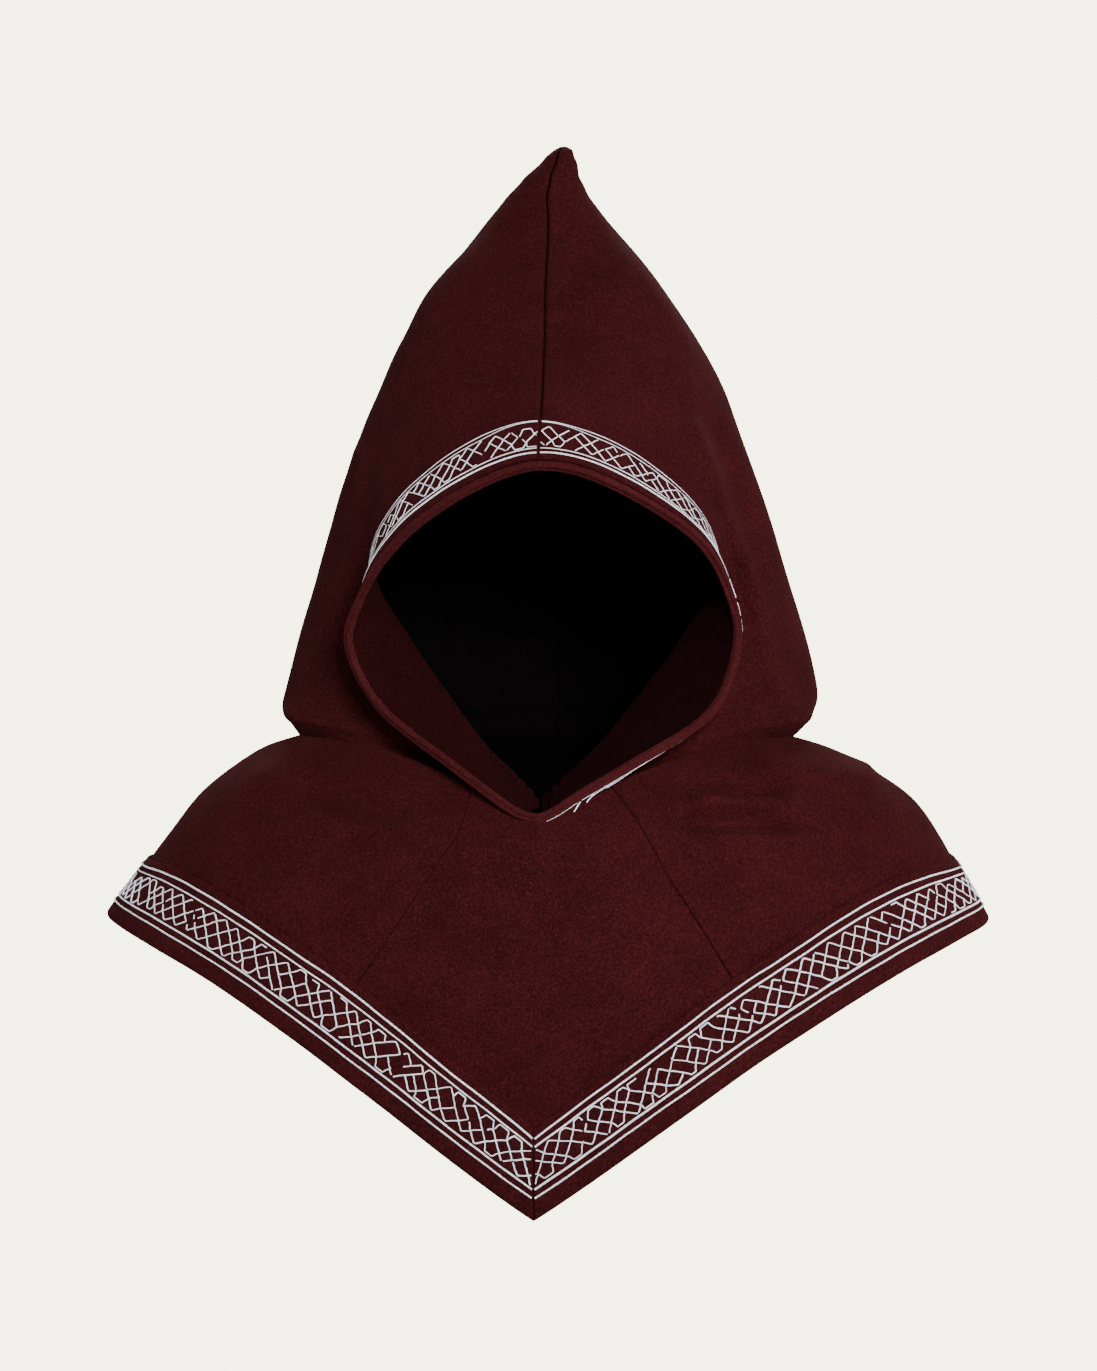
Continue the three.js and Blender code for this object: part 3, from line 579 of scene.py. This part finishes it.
def hem_depth(side, column):
    """The depth at which a column of the cape meets the hem, found by halving."""
    bow = HEM["bow_right"] if side > 0 else HEM["bow_left"]
    above, below = np.zeros(len(column)), np.full(len(column), len(CAPE_SECTIONS) - 1.0)
    for halving in range(24):
        middle = (above + below) / 2
        points = cape_shape(side, middle, column)
        outwards = np.abs(points[:, 0]) / HEM["side_x"]
        rise = outwards + bow * outwards ** HEM["bow_power"] * (1 - outwards)
        over = points[:, 2] > HEM["point_z"] + rise * (HEM["side_z"] - HEM["point_z"])
        above, below = np.where(over, middle, above), np.where(over, below, middle)
    return (above + below) / 2


def depth_above_hem(side, column, distance):
    """The depth of a column at a distance up from the hem, square to the hem."""
    step = np.where(column < 1, STEP, -STEP)
    depth = hem_depth(side, column)
    edge = cape_point(side, depth, column)
    along = unit(cape_point(side, hem_depth(side, column + step), column + step) - edge)
    upwards = (cape_point(side, depth - STEP, column) - edge) / STEP
    return depth - distance / np.linalg.norm(np.cross(upwards, along), axis=1)


front_seam, arm, back_seam = {}, {}, {}
for side in SIDES:
    inner_edge, outer_edge = (column_from_face(side, np.array([1.0]), distance)[0]
                              for distance in (FACE_EDGE_DISTANCE, FACE_EDGE_DISTANCE + SEAM_STRIP))
    front_seam[side] = inner_edge + (outer_edge - inner_edge) / 3
    arm[side] = outer_edge + (1 - outer_edge) * ARM_PARTS / NECK_PARTS
    back_seam[side] = outer_edge + (1 - outer_edge) * BACK_SEAM_PARTS / NECK_PARTS


def from_ends(points):
    """The distances of the points of a strip from the nearer of its two ends."""
    return np.minimum(*(np.linalg.norm(points - points[:, [end]], axis=2) for end in (0, -1)))[..., None]


def cape_panel(name, runs, count, width):
    """A panel of the cape over runs of columns, each (side, from, to), laid end to end."""
    length = sum(abs(end - start) for side, start, end in runs)
    sides, columns = [], []
    for number, (side, start, end) in enumerate(runs):
        shares = with_fine_ends(int(count * abs(end - start) / length), width * abs(end - start) / length,
                                start=number == 0, end=number == len(runs) - 1)
        part = start + shares * (end - start)
        if number > 0:
            part = part[1:]
        columns += list(part)
        sides += [side] * len(part)
    sides, columns = np.array(sides), np.array(columns)
    down = np.linspace(0, 1, PANEL_ROWS)
    outer = np.empty((len(down), len(columns), 3))
    normals = np.empty_like(outer)
    for side in set(sides):
        here = sides == side
        depth = down[:, None] * depth_above_hem(side, columns[here], WOOL_END)
        outer[:, here], normals[:, here] = points_and_normals(
            cape_point, side, depth, np.broadcast_to(columns[here], depth.shape))
        normals[0, here] = neck_mitre(side, columns[here])
    dip = groove(from_ends(outer), **PANEL_GROOVE)
    turn = 1 if (runs[0][2] - runs[0][1]) * runs[0][0] > 0 else -1
    inner = outer - (WOOL_THICKNESS + GROOVE_BENEATH * dip) * normals
    return cloth_shell(name, outer - dip * normals, inner, turn, inner_finish=np.ones(outer.shape[:2], int))


cape_cloths = {}
for part, runs, count, width in (
        ("front", [(-1, front_seam[-1], 0), (1, 0, front_seam[1])], 120, 280),
        ("right", [(1, front_seam[1], back_seam[1])], 150, 440),
        ("left", [(-1, front_seam[-1], back_seam[-1])], 150, 440),
        ("back", [(1, back_seam[1], 1), (-1, 1, back_seam[-1])], 120, 330)):
    cape_cloths[part] = cape_panel(f"cape_cloth_{part}", runs, count, width)
    # The inside of the cape takes the painted black: painted shade.
    settle(cape_cloths[part], f"cape_{part}", "wool", wool, black_inside_painted_shade)

# The hem band: a strip of the same wool, 43 mm wide, laid over the lower edge of the cape and turned up
# round it, so that the edge is a soft roll. It is mitred at both points and at the arms.
HALF_GAP = 0.03
GAP = 0.3
BAND_THICKNESS = 1.6
HEM_BAND_WIDTH = 43.0
BAND_TOP = GAP + BAND_THICKNESS
ROLL_RADIUS = 3.0
ROLL_INNER_RADIUS = ROLL_RADIUS - BAND_THICKNESS
ROLL_HEIGHT = BAND_TOP - ROLL_RADIUS
TURN_UP = 13.0
TURN_UP_STATIONS = (5.0, 8.0, TURN_UP - 0.5)
# The upper edge of the band is rounded: distance from the edge, and height.
HEM_BAND_EDGE = ((0, 0.9), (0.15, 1.45), (0.6, 1.8))
HEM_BAND_STATIONS = 110
HEM_LENGTH = 290
MITRE_GROOVE = dict(width=0.9, depth=0.8)
MITRE_BENEATH = 0.2


def roll_section():
    """Across the hem band, from its upper edge down round the hem: distance and height outside, inside."""
    section = [(HEM_BAND_WIDTH - d, height, HEM_BAND_WIDTH - d, GAP) for d, height in HEM_BAND_EDGE]
    section += [(d, BAND_TOP, d, GAP) for d in np.linspace(HEM_BAND_WIDTH - 1.4, ROLL_RADIUS + 0.6, 22)]
    for angle in np.linspace(math.pi / 2, 3 * math.pi / 2, 13):
        cosine, sine = math.cos(angle), math.sin(angle)
        section.append((ROLL_RADIUS + ROLL_RADIUS * cosine, ROLL_HEIGHT + ROLL_RADIUS * sine,
                        ROLL_RADIUS + ROLL_INNER_RADIUS * cosine, ROLL_HEIGHT + ROLL_INNER_RADIUS * sine))
    lower, upper = ROLL_HEIGHT - ROLL_RADIUS, ROLL_HEIGHT - ROLL_INNER_RADIUS
    section += [(d, lower, d, upper) for d in TURN_UP_STATIONS]
    section.append((TURN_UP, lower + 0.5, TURN_UP, upper))
    return np.array(section)


def hem_strip(side, start, end, count, distances):
    """Points and normals of the cape's outer side, by distance from the hem and column."""
    columns = start + with_fine_ends(count, HEM_LENGTH) * (end - start)
    depth = np.array([depth_above_hem(side, columns, d) for d in distances])
    return points_and_normals(cape_point, side, depth, np.broadcast_to(columns, depth.shape))


hem_bands = {}
section = roll_section()
for side, name in SIDES.items():
    for part, start, end in (("front", 0, arm[side]), ("back", arm[side], 1)):
        outer, normals = hem_strip(side, start, end, HEM_BAND_STATIONS, section[:, 0])
        inner, inner_normals = hem_strip(side, start, end, HEM_BAND_STATIONS, section[:, 2])
        dip = groove(from_ends(outer), **MITRE_GROOVE)
        outer += (section[:, 1, None, None] - dip) * normals
        inner += (section[:, 3, None, None] - MITRE_BENEATH * dip) * inner_normals
        for layer in (outer, inner):
            layer[..., 0] = side * np.maximum(layer[..., 0] * side, HALF_GAP)
        hem_bands[side, part] = cloth_shell(f"hem_band_cloth_{part}_{name}", outer, inner, side)
        settle(hem_bands[side, part], f"hem_band_{part}_{name}", "band_wool", wool)

# The face band: a strip of the same wool round the face opening, sewn on a few millimetres behind the
# binding and mitred on the ridge. It ends at the throat.
FACE_BAND_WIDTH = 25.6
FACE_BAND_STATIONS = 130
FACE_LENGTH = 300
LAST_BAND_ROW = 0.84
# Across the band, with rounded edges: distance from its inner edge, and height outside and inside.
FACE_BAND_SECTION = [(0, 0.8, GAP), (0.2, 1.5, GAP), (0.7, BAND_TOP, GAP)]
FACE_BAND_SECTION += [(d, BAND_TOP, GAP) for d in np.linspace(2, FACE_BAND_WIDTH - 2, 20)]
FACE_BAND_SECTION += [(FACE_BAND_WIDTH - 0.8, 1.7, GAP), (FACE_BAND_WIDTH - 0.25, 1.3, GAP),
                      (FACE_BAND_WIDTH, 0.7, GAP)]


def face_strip(side, count, distances, last_row=LAST_BAND_ROW):
    """Points and normals of the hood's outer side, by row and distance from the face edge."""
    rows = with_fine_ends(count, FACE_LENGTH) * last_row
    column = np.array([column_from_face(side, rows, d) for d in distances])
    return points_and_normals(hood_point, side, np.broadcast_to(rows, column.shape), column)


face_bands = {}
section = np.array(FACE_BAND_SECTION)
for side, name in SIDES.items():
    points, normals = face_strip(side, FACE_BAND_STATIONS, FACE_EDGE_DISTANCE + section[:, 0])
    dip = groove(from_ends(points), **MITRE_GROOVE)
    outer = points + (section[:, 1, None, None] - dip) * normals
    inner = points + section[:, 2, None, None] * normals
    outer, inner = outer.swapaxes(0, 1), inner.swapaxes(0, 1)
    face_bands[side] = cloth_shell(f"face_band_cloth_{name}", outer, inner, side, HALF_GAP)
    settle(face_bands[side], f"face_band_{name}", "band_wool", wool)

# The binding: the edge of the face opening is turned over a cord twice and sewn down between the turns,
# which makes two soft ridges with a groove between them. The edge is worn to a short reddish nap.
BINDING_SECTION = [(0.9, 1.3), (0.1, 0.7), (0.1, -0.5), (0.6, -1.1), (0.0, -1.7), (0.0, -2.9), (0.9, -3.5),
                   (3.4, -3.3), (4.0, -2.7), (4.0, 0.6), (3.3, 1.3)]
RIDGE_OVERRUN = 4
THROAT_OVERRUN = 14
THROAT_ROW = 0.985
EDGE_RED = (0.037, 0.0056, 0.0066)
edge_wool = fabric("napped_edge_wool", EDGE_RED, light=1.6, dark=0.55, grain=1000, twill=0, fleck=0.6,
                   sheen=0.06)
for side, name in SIDES.items():
    rows = np.linspace(0, 1, 150)
    step = np.where(rows < 0.5, STEP, -STEP)
    edge = hood_point(side, rows, 0.0)
    tangent = unit((hood_point(side, rows + step, 0.0) - edge) / step[:, None])
    normal = surface_normal(hood_point, side, np.minimum(rows, THROAT_ROW), 0.0)
    inwards = np.cross(normal, tangent) * side
    centres = np.concatenate([[edge[0] - RIDGE_OVERRUN * tangent[0]], edge,
                              [edge[-1] + THROAT_OVERRUN * tangent[-1]]])
    normal, inwards = (np.concatenate([a[:1], a, a[-1:]]) for a in (normal, inwards))
    rings = np.array([centres + distance * inwards + height * normal
                      for distance, height in [*BINDING_SECTION, BINDING_SECTION[0]]])
    binding, ring, station = grid_piece(f"face_binding_roll_{name}", *rings.shape[:2])
    binding.data.vertices.foreach_set("co", (lean(rings[ring, station]) * MM).ravel())
    bpy.ops.object.mode_set(mode="EDIT")
    bpy.ops.mesh.select_all(action="SELECT")
    bpy.ops.mesh.remove_doubles(threshold=1e-6)
    bpy.ops.mesh.bisect(plane_co=(side * HALF_GAP * MM, 0, 0), plane_no=(side, 0, 0), clear_inner=True)
    bpy.ops.mesh.select_all(action="SELECT")
    bpy.ops.mesh.subdivide(number_cuts=1)
    bpy.ops.mesh.select_all(action="SELECT")
    bpy.ops.mesh.fill_holes(sides=0)
    bpy.ops.mesh.select_all(action="SELECT")
    bpy.ops.mesh.normals_make_consistent(inside=False)
    bpy.ops.object.mode_set(mode="OBJECT")
    bpy.ops.object.shade_smooth_by_angle(angle=math.radians(60))
    settle(binding, f"face_binding_{name}", "binding_wool", edge_wool)

# The embroidery: a knotwork plait of pale lilac thread between two pairs of couched border lines. The
# strands cross over and under, turn at the borders, and break off here and there.
THREAD_RADIUS = 0.6
HEM_LATTICE_SHARE = 0.7
FACE_LATTICE_SHARE = 0.56
THREAD_SINK = 0.1
STRAND_STEP = 0.8
STITCH = 2.7
CROSSING_RISE = 0.4
CROSSING_LENGTH = 1.1
HEM_LINES = ((37.9, 37.9, 1.0), (33.9, 33.9, 0.86), (14.3, 14.3, 1.0), (10.3, 10.3, 0.9))
HEM_LATTICE = (16.0, 32.3)
FACE_LINES = ((8.2, 8.2, 0.85), (11.0, 11.0, 0.5), (27.6, 25.7, 0.38), (28.1, 28.1, 0.42))
FACE_LATTICE = (12.4, 24.6)
END_MARGIN = 0.9
# Where the strands of a plait meet, the odds of what they do there: on a border, and inside.
BORDER_MEETINGS = {"corner": 38, "flat": 36, "open": 26}
INNER_MEETINGS = {"cross": 76, "level": 7, "upright": 8, "cut": 9}
# How far the strands and their meetings stray, how far a loose end falls short on a border and inside,
# half the length of a flat turn, how blunt a corner is, and the share of the strands that is left out.
STRAND_STRAY = 1.0
MEETING_STRAY = 0.16
BORDER_SHORT = (0.1, 0.8)
INNER_SHORT = (0.2, 2.4)
FLAT_HALF = (1.3, 2.9)
BLUNT = 0.45
LEFT_OUT = 0.07


class Strip:
    """The outer side of a band as a flat strip: s along it and d across it, in millimetres."""

    def __init__(self, points, normals, distances):
        self.points, self.normals, self.distances = points, normals, distances
        lengths = np.linalg.norm(np.diff(points, axis=1), axis=2).cumsum(1)
        self.along = np.concatenate([np.zeros((len(points), 1)), lengths], 1)
        start = unit(points[0, 2] - points[0, 0])
        self.along += ((points[:, 0] - points[0, 0]) @ start)[:, None]

    def span(self, d):
        return (np.interp(d, self.distances, self.along[:, 0]),
                np.interp(d, self.distances, self.along[:, -1]))

    def place(self, s, d, height):
        line = np.interp(d, self.distances, np.arange(len(self.distances)))
        lower = np.clip(line.astype(int), 0, len(self.distances) - 2)
        found = np.zeros((2, len(s), 3))
        for number in range(len(self.distances)):
            for share, here in ((1 - (line - lower), lower == number), (line - lower, lower == number - 1)):
                if here.any():
                    at = np.interp(s[here], self.along[number], np.arange(self.along.shape[1]))
                    station = np.clip(at.astype(int), 0, self.along.shape[1] - 2)
                    part = (at - station)[:, None]
                    for k, grid in enumerate((self.points, self.normals)):
                        value = grid[number, station] * (1 - part) + grid[number, station + 1] * part
                        found[k, here] += share[here][:, None] * value
        return found[0] + found[1] * np.asarray(height)[:, None]


def plait(length, low, high, rows, pitch, chance):
    """The strands of a plait as lists of (s, d, rise): rows steps high, with a crossing every pitch."""
    columns = int(length / pitch) + 1
    step = (high - low) / rows

    def meeting(i, j):
        if j not in (0, rows) and i in (0, columns):
            return "side"
        odds = BORDER_MEETINGS if j in (0, rows) else INNER_MEETINGS
        return chance.choices([*odds], [*odds.values()])[0]

    kinds = {(i, j): meeting(i, j) for i in range(columns + 1) for j in range(rows + 1) if (i + j) % 2 == 0}
    rising = {k: k * pitch + chance.gauss(0, STRAND_STRAY) for k in range(-rows - 2, columns + 3)}
    falling = {k: k * pitch + chance.gauss(0, STRAND_STRAY) for k in range(-2, columns + rows + 3)}
    bend = {node: (chance.gauss(0, MEETING_STRAY), chance.gauss(0, MEETING_STRAY)) for node in kinds}

    def onwards(node, di, dj):
        """Where a strand that arrives at node, heading (di, dj), goes on to."""
        i, j = node
        kind = kinds[node]
        if kind in ("open", "cut") and (kind == "open" or di > 0):
            return None
        if kind in ("corner", "flat", "level"):
            dj = -dj
        elif kind in ("upright", "side"):
            di = -di
        if not 0 <= i + di <= columns or not 0 <= j + dj <= rows:
            return None
        return di, dj

    def corner_points(node, arriving, leaving):
        i, j = node
        one, other = rising[i - j], falling[i + j]
        s = (one + other) / 2 + bend[node][0]
        d = low + (other - one) / 2 * step / pitch + bend[node][1]
        d = min(max(d, low - 0.4), high + 0.4)
        if leaving is None:
            di, dj = arriving
            short = chance.uniform(*(INNER_SHORT if 0 < j < rows else BORDER_SHORT))
            return [(s - short * di, d - 0.7 * short * dj, 0)]
        if kinds[node] == "flat":
            half = chance.uniform(*FLAT_HALF)
            return [(s - half * arriving[0], d, 0), (s + half * arriving[0], d, 0)]
        if kinds[node] == "cross":
            over = (arriving[0] * arriving[1] > 0) == (j % 2 == 1)
            return [(s, d, CROSSING_RISE if over else 0)]
        if kinds[node] == "cut":
            return [(s, d, 0)]
        return [(s - BLUNT * arriving[0], d - BLUNT * arriving[1], 0),
                (s + BLUNT * leaving[0], d + BLUNT * leaving[1], 0)]

    links = [frozenset(((i, j), (i + 1, j + dj)))
             for i, j in kinds for dj in (1, -1) if (i + 1, j + dj) in kinds]
    seen, strands = set(chance.sample(sorted(links, key=sorted), int(LEFT_OUT * len(links)))), []
    for i, j in sorted(kinds):
        for di, dj in ((1, 1), (1, -1)):
            if not (0 <= i + di <= columns and 0 <= j + dj <= rows):
                continue
            edge = frozenset(((i, j), (i + di, j + dj)))
            if edge in seen:
                continue
            halves = []
            for start, heading in (((i + di, j + dj), (di, dj)), ((i, j), (-di, -dj))):
                node, way, walked = start, heading, []
                while way is not None:
                    ahead = onwards(node, *way)
                    walked += corner_points(node, way, ahead)
                    if ahead is None:
                        break
                    following = (node[0] + ahead[0], node[1] + ahead[1])
                    link = frozenset((node, following))
                    if link in seen or link == edge:
                        break
                    seen.add(link)
                    node, way = following, ahead
                halves.append(walked)
            seen.add(edge)
            strands.append(halves[1][::-1] + halves[0])
    return strands


def resample(strand, step):
    """Even steps along a strand, with its crossings as short humps."""
    corners = np.array([point[:2] for point in strand])
    lengths = np.linalg.norm(np.diff(corners, axis=0), axis=1)
    keep = np.insert(lengths > 0.05, 0, True)
    corners, rises = corners[keep], np.array([point[2] for point in strand])[keep]
    if len(corners) < 2:
        return None
    reach = np.insert(np.linalg.norm(np.diff(corners, axis=0), axis=1).cumsum(), 0, 0)
    at = np.linspace(0, reach[-1], max(int(reach[-1] / step), 2) + 1)
    s, d = (np.interp(at, reach, corners[:, k]) for k in (0, 1))
    rise = sum((r * bell(at - where, CROSSING_LENGTH) for r, where in zip(rises, reach)), 0 * at)
    return s, d, rise


def lay_threads(name, strip, strands, chance, shift=None):
    """Couches strands on a band as one piece of thread, pinched a little at every stitch. A strand is
    s, d, rise and its share of the full thickness."""
    curve = bpy.data.curves.new(name, "CURVE")
    curve.dimensions = "3D"
    curve.bevel_depth = THREAD_RADIUS * MM
    curve.bevel_resolution = 1
    curve.use_fill_caps = True
    for s, d, rise, share in strands:
        height = BAND_TOP + THREAD_RADIUS * share - THREAD_SINK + rise
        points = strip.place(s, d, height)
        if shift is not None:
            points = shift(points)
        spline = curve.splines.new("POLY")
        spline.points.add(len(points) - 1)
        spline.points.foreach_set("co", np.column_stack([points * MM, np.ones(len(points))]).ravel())
        count = np.arange(len(points)) * STRAND_STEP / STITCH + chance.random()
        thick = share * chance.uniform(0.9, 1.1) * (1 - 0.18 * np.abs(np.cos(math.pi * count)) ** 6)
        spline.points.foreach_set("radius", thick)
        spline.use_smooth = True
    piece = bpy.data.objects.new(name, curve)
    bpy.context.collection.objects.link(piece)
    bpy.ops.object.select_all(action="DESELECT")
    piece.select_set(True)
    bpy.context.view_layer.objects.active = piece
    bpy.ops.object.convert(target="MESH")
    return bpy.context.object


def embroider(name, strip, lines, lattice, rows, pitch, share, seed, shift=None, finer_from=1000):
    """lines are the border lines: distance at the start and further on, and share of the thickness. The
    thread is drawn in to half its thickness beyond the distance finer_from along the band."""

    def drawn(s):
        return 1 - 0.5 * smoothstep(s, finer_from, finer_from + 45)

    chance = random.Random(seed)
    strands = []
    for number, (d_first, d, thick) in enumerate(lines):
        start, end = strip.span(d)
        s = np.arange(start + END_MARGIN, end - END_MARGIN, STRAND_STEP)
        wander = 0.12 * np.sin(s / 17 + number) + 0.06 * np.sin(s / 4.1 + 2 * number)
        d = d_first + (d - d_first) * smoothstep(s - start, 5, 35) + wander
        strands.append((s, d, 0 * s, thick * drawn(s)))
    low, high = lattice
    starts, ends = zip(strip.span(low), strip.span(high))
    origin = min(starts) - pitch * 1.5
    for strand in plait(max(ends) - origin + pitch * 2, low, high, rows, pitch, chance):
        found = resample(strand, STRAND_STEP)
        if found is None:
            continue
        s, d, rise = found
        s = s + origin + 0.13 * np.sin(d * 1.7 + s * 0.45)
        first, last = strip.span(d)
        inside = (s > first + END_MARGIN) & (s < last - END_MARGIN)
        breaks = np.flatnonzero(np.diff(inside.astype(int))) + 1
        for run in np.split(np.arange(len(s)), breaks):
            if inside[run[0]] and len(run) > 3:
                thick = share * chance.uniform(0.85, 1.1) * drawn(s[run])
                strands.append((s[run], d[run], rise[run], thick))
    return lay_threads(name, strip, strands, chance, shift)


threads = {}
distances = np.linspace(6, 42, 13)
distances_face = np.linspace(6, 30, 13)
for side, name in SIDES.items():
    for number, (part, start) in enumerate((("front", 0), ("back", 1))):
        strip = Strip(*hem_strip(side, start, arm[side], 150, distances), distances)
        threads[side, part] = embroider(f"hem_knotwork_{part}_{name}", strip, HEM_LINES, HEM_LATTICE, 4, 4.5,
                                        HEM_LATTICE_SHARE, seed=11 + 2 * number + side)
    strip = Strip(*face_strip(side, 170, distances_face), distances_face)
    threads[side, "face"] = embroider(f"face_knotwork_{name}", strip, FACE_LINES, FACE_LATTICE, 3, 4.2,
                                      FACE_LATTICE_SHARE, seed=31 + side, shift=lean, finer_from=70)

# On the right, the lowest strands of the face band have slipped over the binding: rows and distances
# from the face edge where they start and end, their share of the thickness, and how far the end stands up.
SLIPPED_TO_ROW = 0.98
SLIPPED = [
    (0.345, 0.385, 2.4, 2.2, 0.45, 0), (0.395, 0.425, 2.0, 1.8, 0.4, 0), (0.435, 0.475, 1.7, 1.6, 0.45, 0),
    (0.49, 0.50, 1.5, 1.5, 0.4, 0), (0.62, 0.70, 1.7, 1.3, 0.22, 0), (0.70, 0.86, 1.3, 0.9, 0.24, 0),
    (0.87, 0.975, 1.0, 0.9, 0.2, 0), (0.715, 0.80, 1.4, 1.6, 0.3, 1.2), (0.775, 0.84, 1.2, 2.0, 0.3, 1.4),
    (0.83, 0.85, 0.9, 2.4, 0.6, 2.6), (0.865, 0.885, 0.8, 2.4, 0.7, 3.0),
]
chance = random.Random(3)
distances = np.array([0.4, 1.5, 3.0])
strip = Strip(*face_strip(1, 170, distances, SLIPPED_TO_ROW), distances)
rows = with_fine_ends(170, FACE_LENGTH) * SLIPPED_TO_ROW
slipped = []
for first, last, d_first, d_last, share, lift in SLIPPED:
    ends = np.interp((first, last), rows, strip.along[1])
    s = np.linspace(*ends, max(int((ends[1] - ends[0]) / STRAND_STEP), 3))
    along = (s - s[0]) / (s[-1] - s[0])
    d = d_first + (d_last - d_first) * along + 0.15 * np.sin(along * 9 + d_first * 7)
    slipped.append((s, d, lift * along - 0.3, share))
threads[1, "slipped"] = lay_threads("face_strands_slipped", strip, slipped, chance, lean)

# The thread is pale lilac and dull, a little uneven in colour, with fine fibres that stand off it. All
# of it has the one finish.
LILAC = (0.80, 0.775, 0.86)
lilac, tree = new_material("lilac_thread")
bump = add_node(tree, "Bump", {"Strength": 0.5, "Distance": 0.0002, "Height": noise(tree, 3200, 2, 0.5)})
connect(tree, tree.nodes["Principled BSDF"], {
    "Base Color": shades(tree, noise(tree, 420, 2, 0.5), LILAC, [(0.3, 0.78), (0.7, 1.1)]),
    "Normal": bump.outputs["Normal"], "Roughness": 0.6, "Sheen Weight": 0.2})
for piece in threads.values():
    settle(piece, None, "band_wool", lilac)

# The studio: a plain pale floor and background, a soft light in front on the right, weaker ones at both
# sides and one behind, and the camera in front of the hood, a little to the right and above.
PAPER = (0.871, 0.825, 0.62, 1)
PAPER_GLOW = 7.0
FLOOR_GREY = (0.35, 0.35, 0.33, 1)
FLOOR_Z = -0.62
FILL = 0.13
LIGHT_AIM = (0, 0, -0.2)
LIGHTS = {  # place, size and power
    "front_right": ((0.75, -2.4, 0.6), (0.9, 0.7), 128),
    "left_side": ((-2.4, 0.0, 0.1), (0.3, 1.6), 30),
    "right_side": ((2.4, -0.2, 0.1), (0.3, 1.6), 34),
    "behind": ((0, 2.4, 1.6), (1.6, 1.0), 60),
}
for name, (place, size, power) in LIGHTS.items():
    bpy.ops.object.light_add(type="AREA", location=place)
    lamp = bpy.context.object
    lamp.name = name
    lamp.data.shape = "RECTANGLE"
    lamp.data.size, lamp.data.size_y = size
    lamp.data.energy = power
    x, y, z = np.subtract(place, LIGHT_AIM)
    lamp.rotation_euler = (math.atan2(math.hypot(x, y), z), 0, math.atan2(x, -y))


def backdrop(owner, shader, lighting, seen, output):
    """Makes the world or the floor. shader and lighting say what it gives to the hood, and seen is the
    shader with which it shines to the camera."""
    owner.use_nodes = True
    tree = owner.node_tree
    tree.nodes.clear()
    shown = add_node(tree, seen, {"Color": PAPER, "Strength": PAPER_GLOW})
    choice = add_node(tree, "MixShader", {0: add_node(tree, "LightPath").outputs["Is Camera Ray"],
                                          1: add_node(tree, shader, lighting).outputs[0],
                                          2: shown.outputs[0]})
    add_node(tree, output, {"Surface": choice.outputs[0]})


world = bpy.data.worlds.new("studio")
bpy.context.scene.world = world
backdrop(world, "Background", {"Color": (1, 1, 1, 1), "Strength": FILL}, "Background", "OutputWorld")
bpy.ops.mesh.primitive_plane_add(size=40, location=(0, 0, FLOOR_Z))
floor = bpy.context.object
floor.name = "floor"
paper = bpy.data.materials.new("pale_paper")
backdrop(paper, "BsdfDiffuse", {"Color": FLOOR_GREY}, "Emission", "OutputMaterial")
floor.data.materials.append(paper)

TARGET = (0, 0.015, -0.205)
DISTANCE = 2.4
AZIMUTH = math.radians(3)
ELEVATION = math.radians(3)
SENSOR_HEIGHT = 36
LENS = 114.58
bpy.ops.object.camera_add(
    location=(TARGET[0] + DISTANCE * math.sin(AZIMUTH) * math.cos(ELEVATION),
              TARGET[1] - DISTANCE * math.cos(AZIMUTH) * math.cos(ELEVATION),
              TARGET[2] + DISTANCE * math.sin(ELEVATION)),
    rotation=(math.pi / 2 - ELEVATION, 0, AZIMUTH))
camera = bpy.context.object
camera.data.sensor_fit = "VERTICAL"
camera.data.sensor_height = SENSOR_HEIGHT
camera.data.lens = LENS
bpy.context.scene.camera = camera
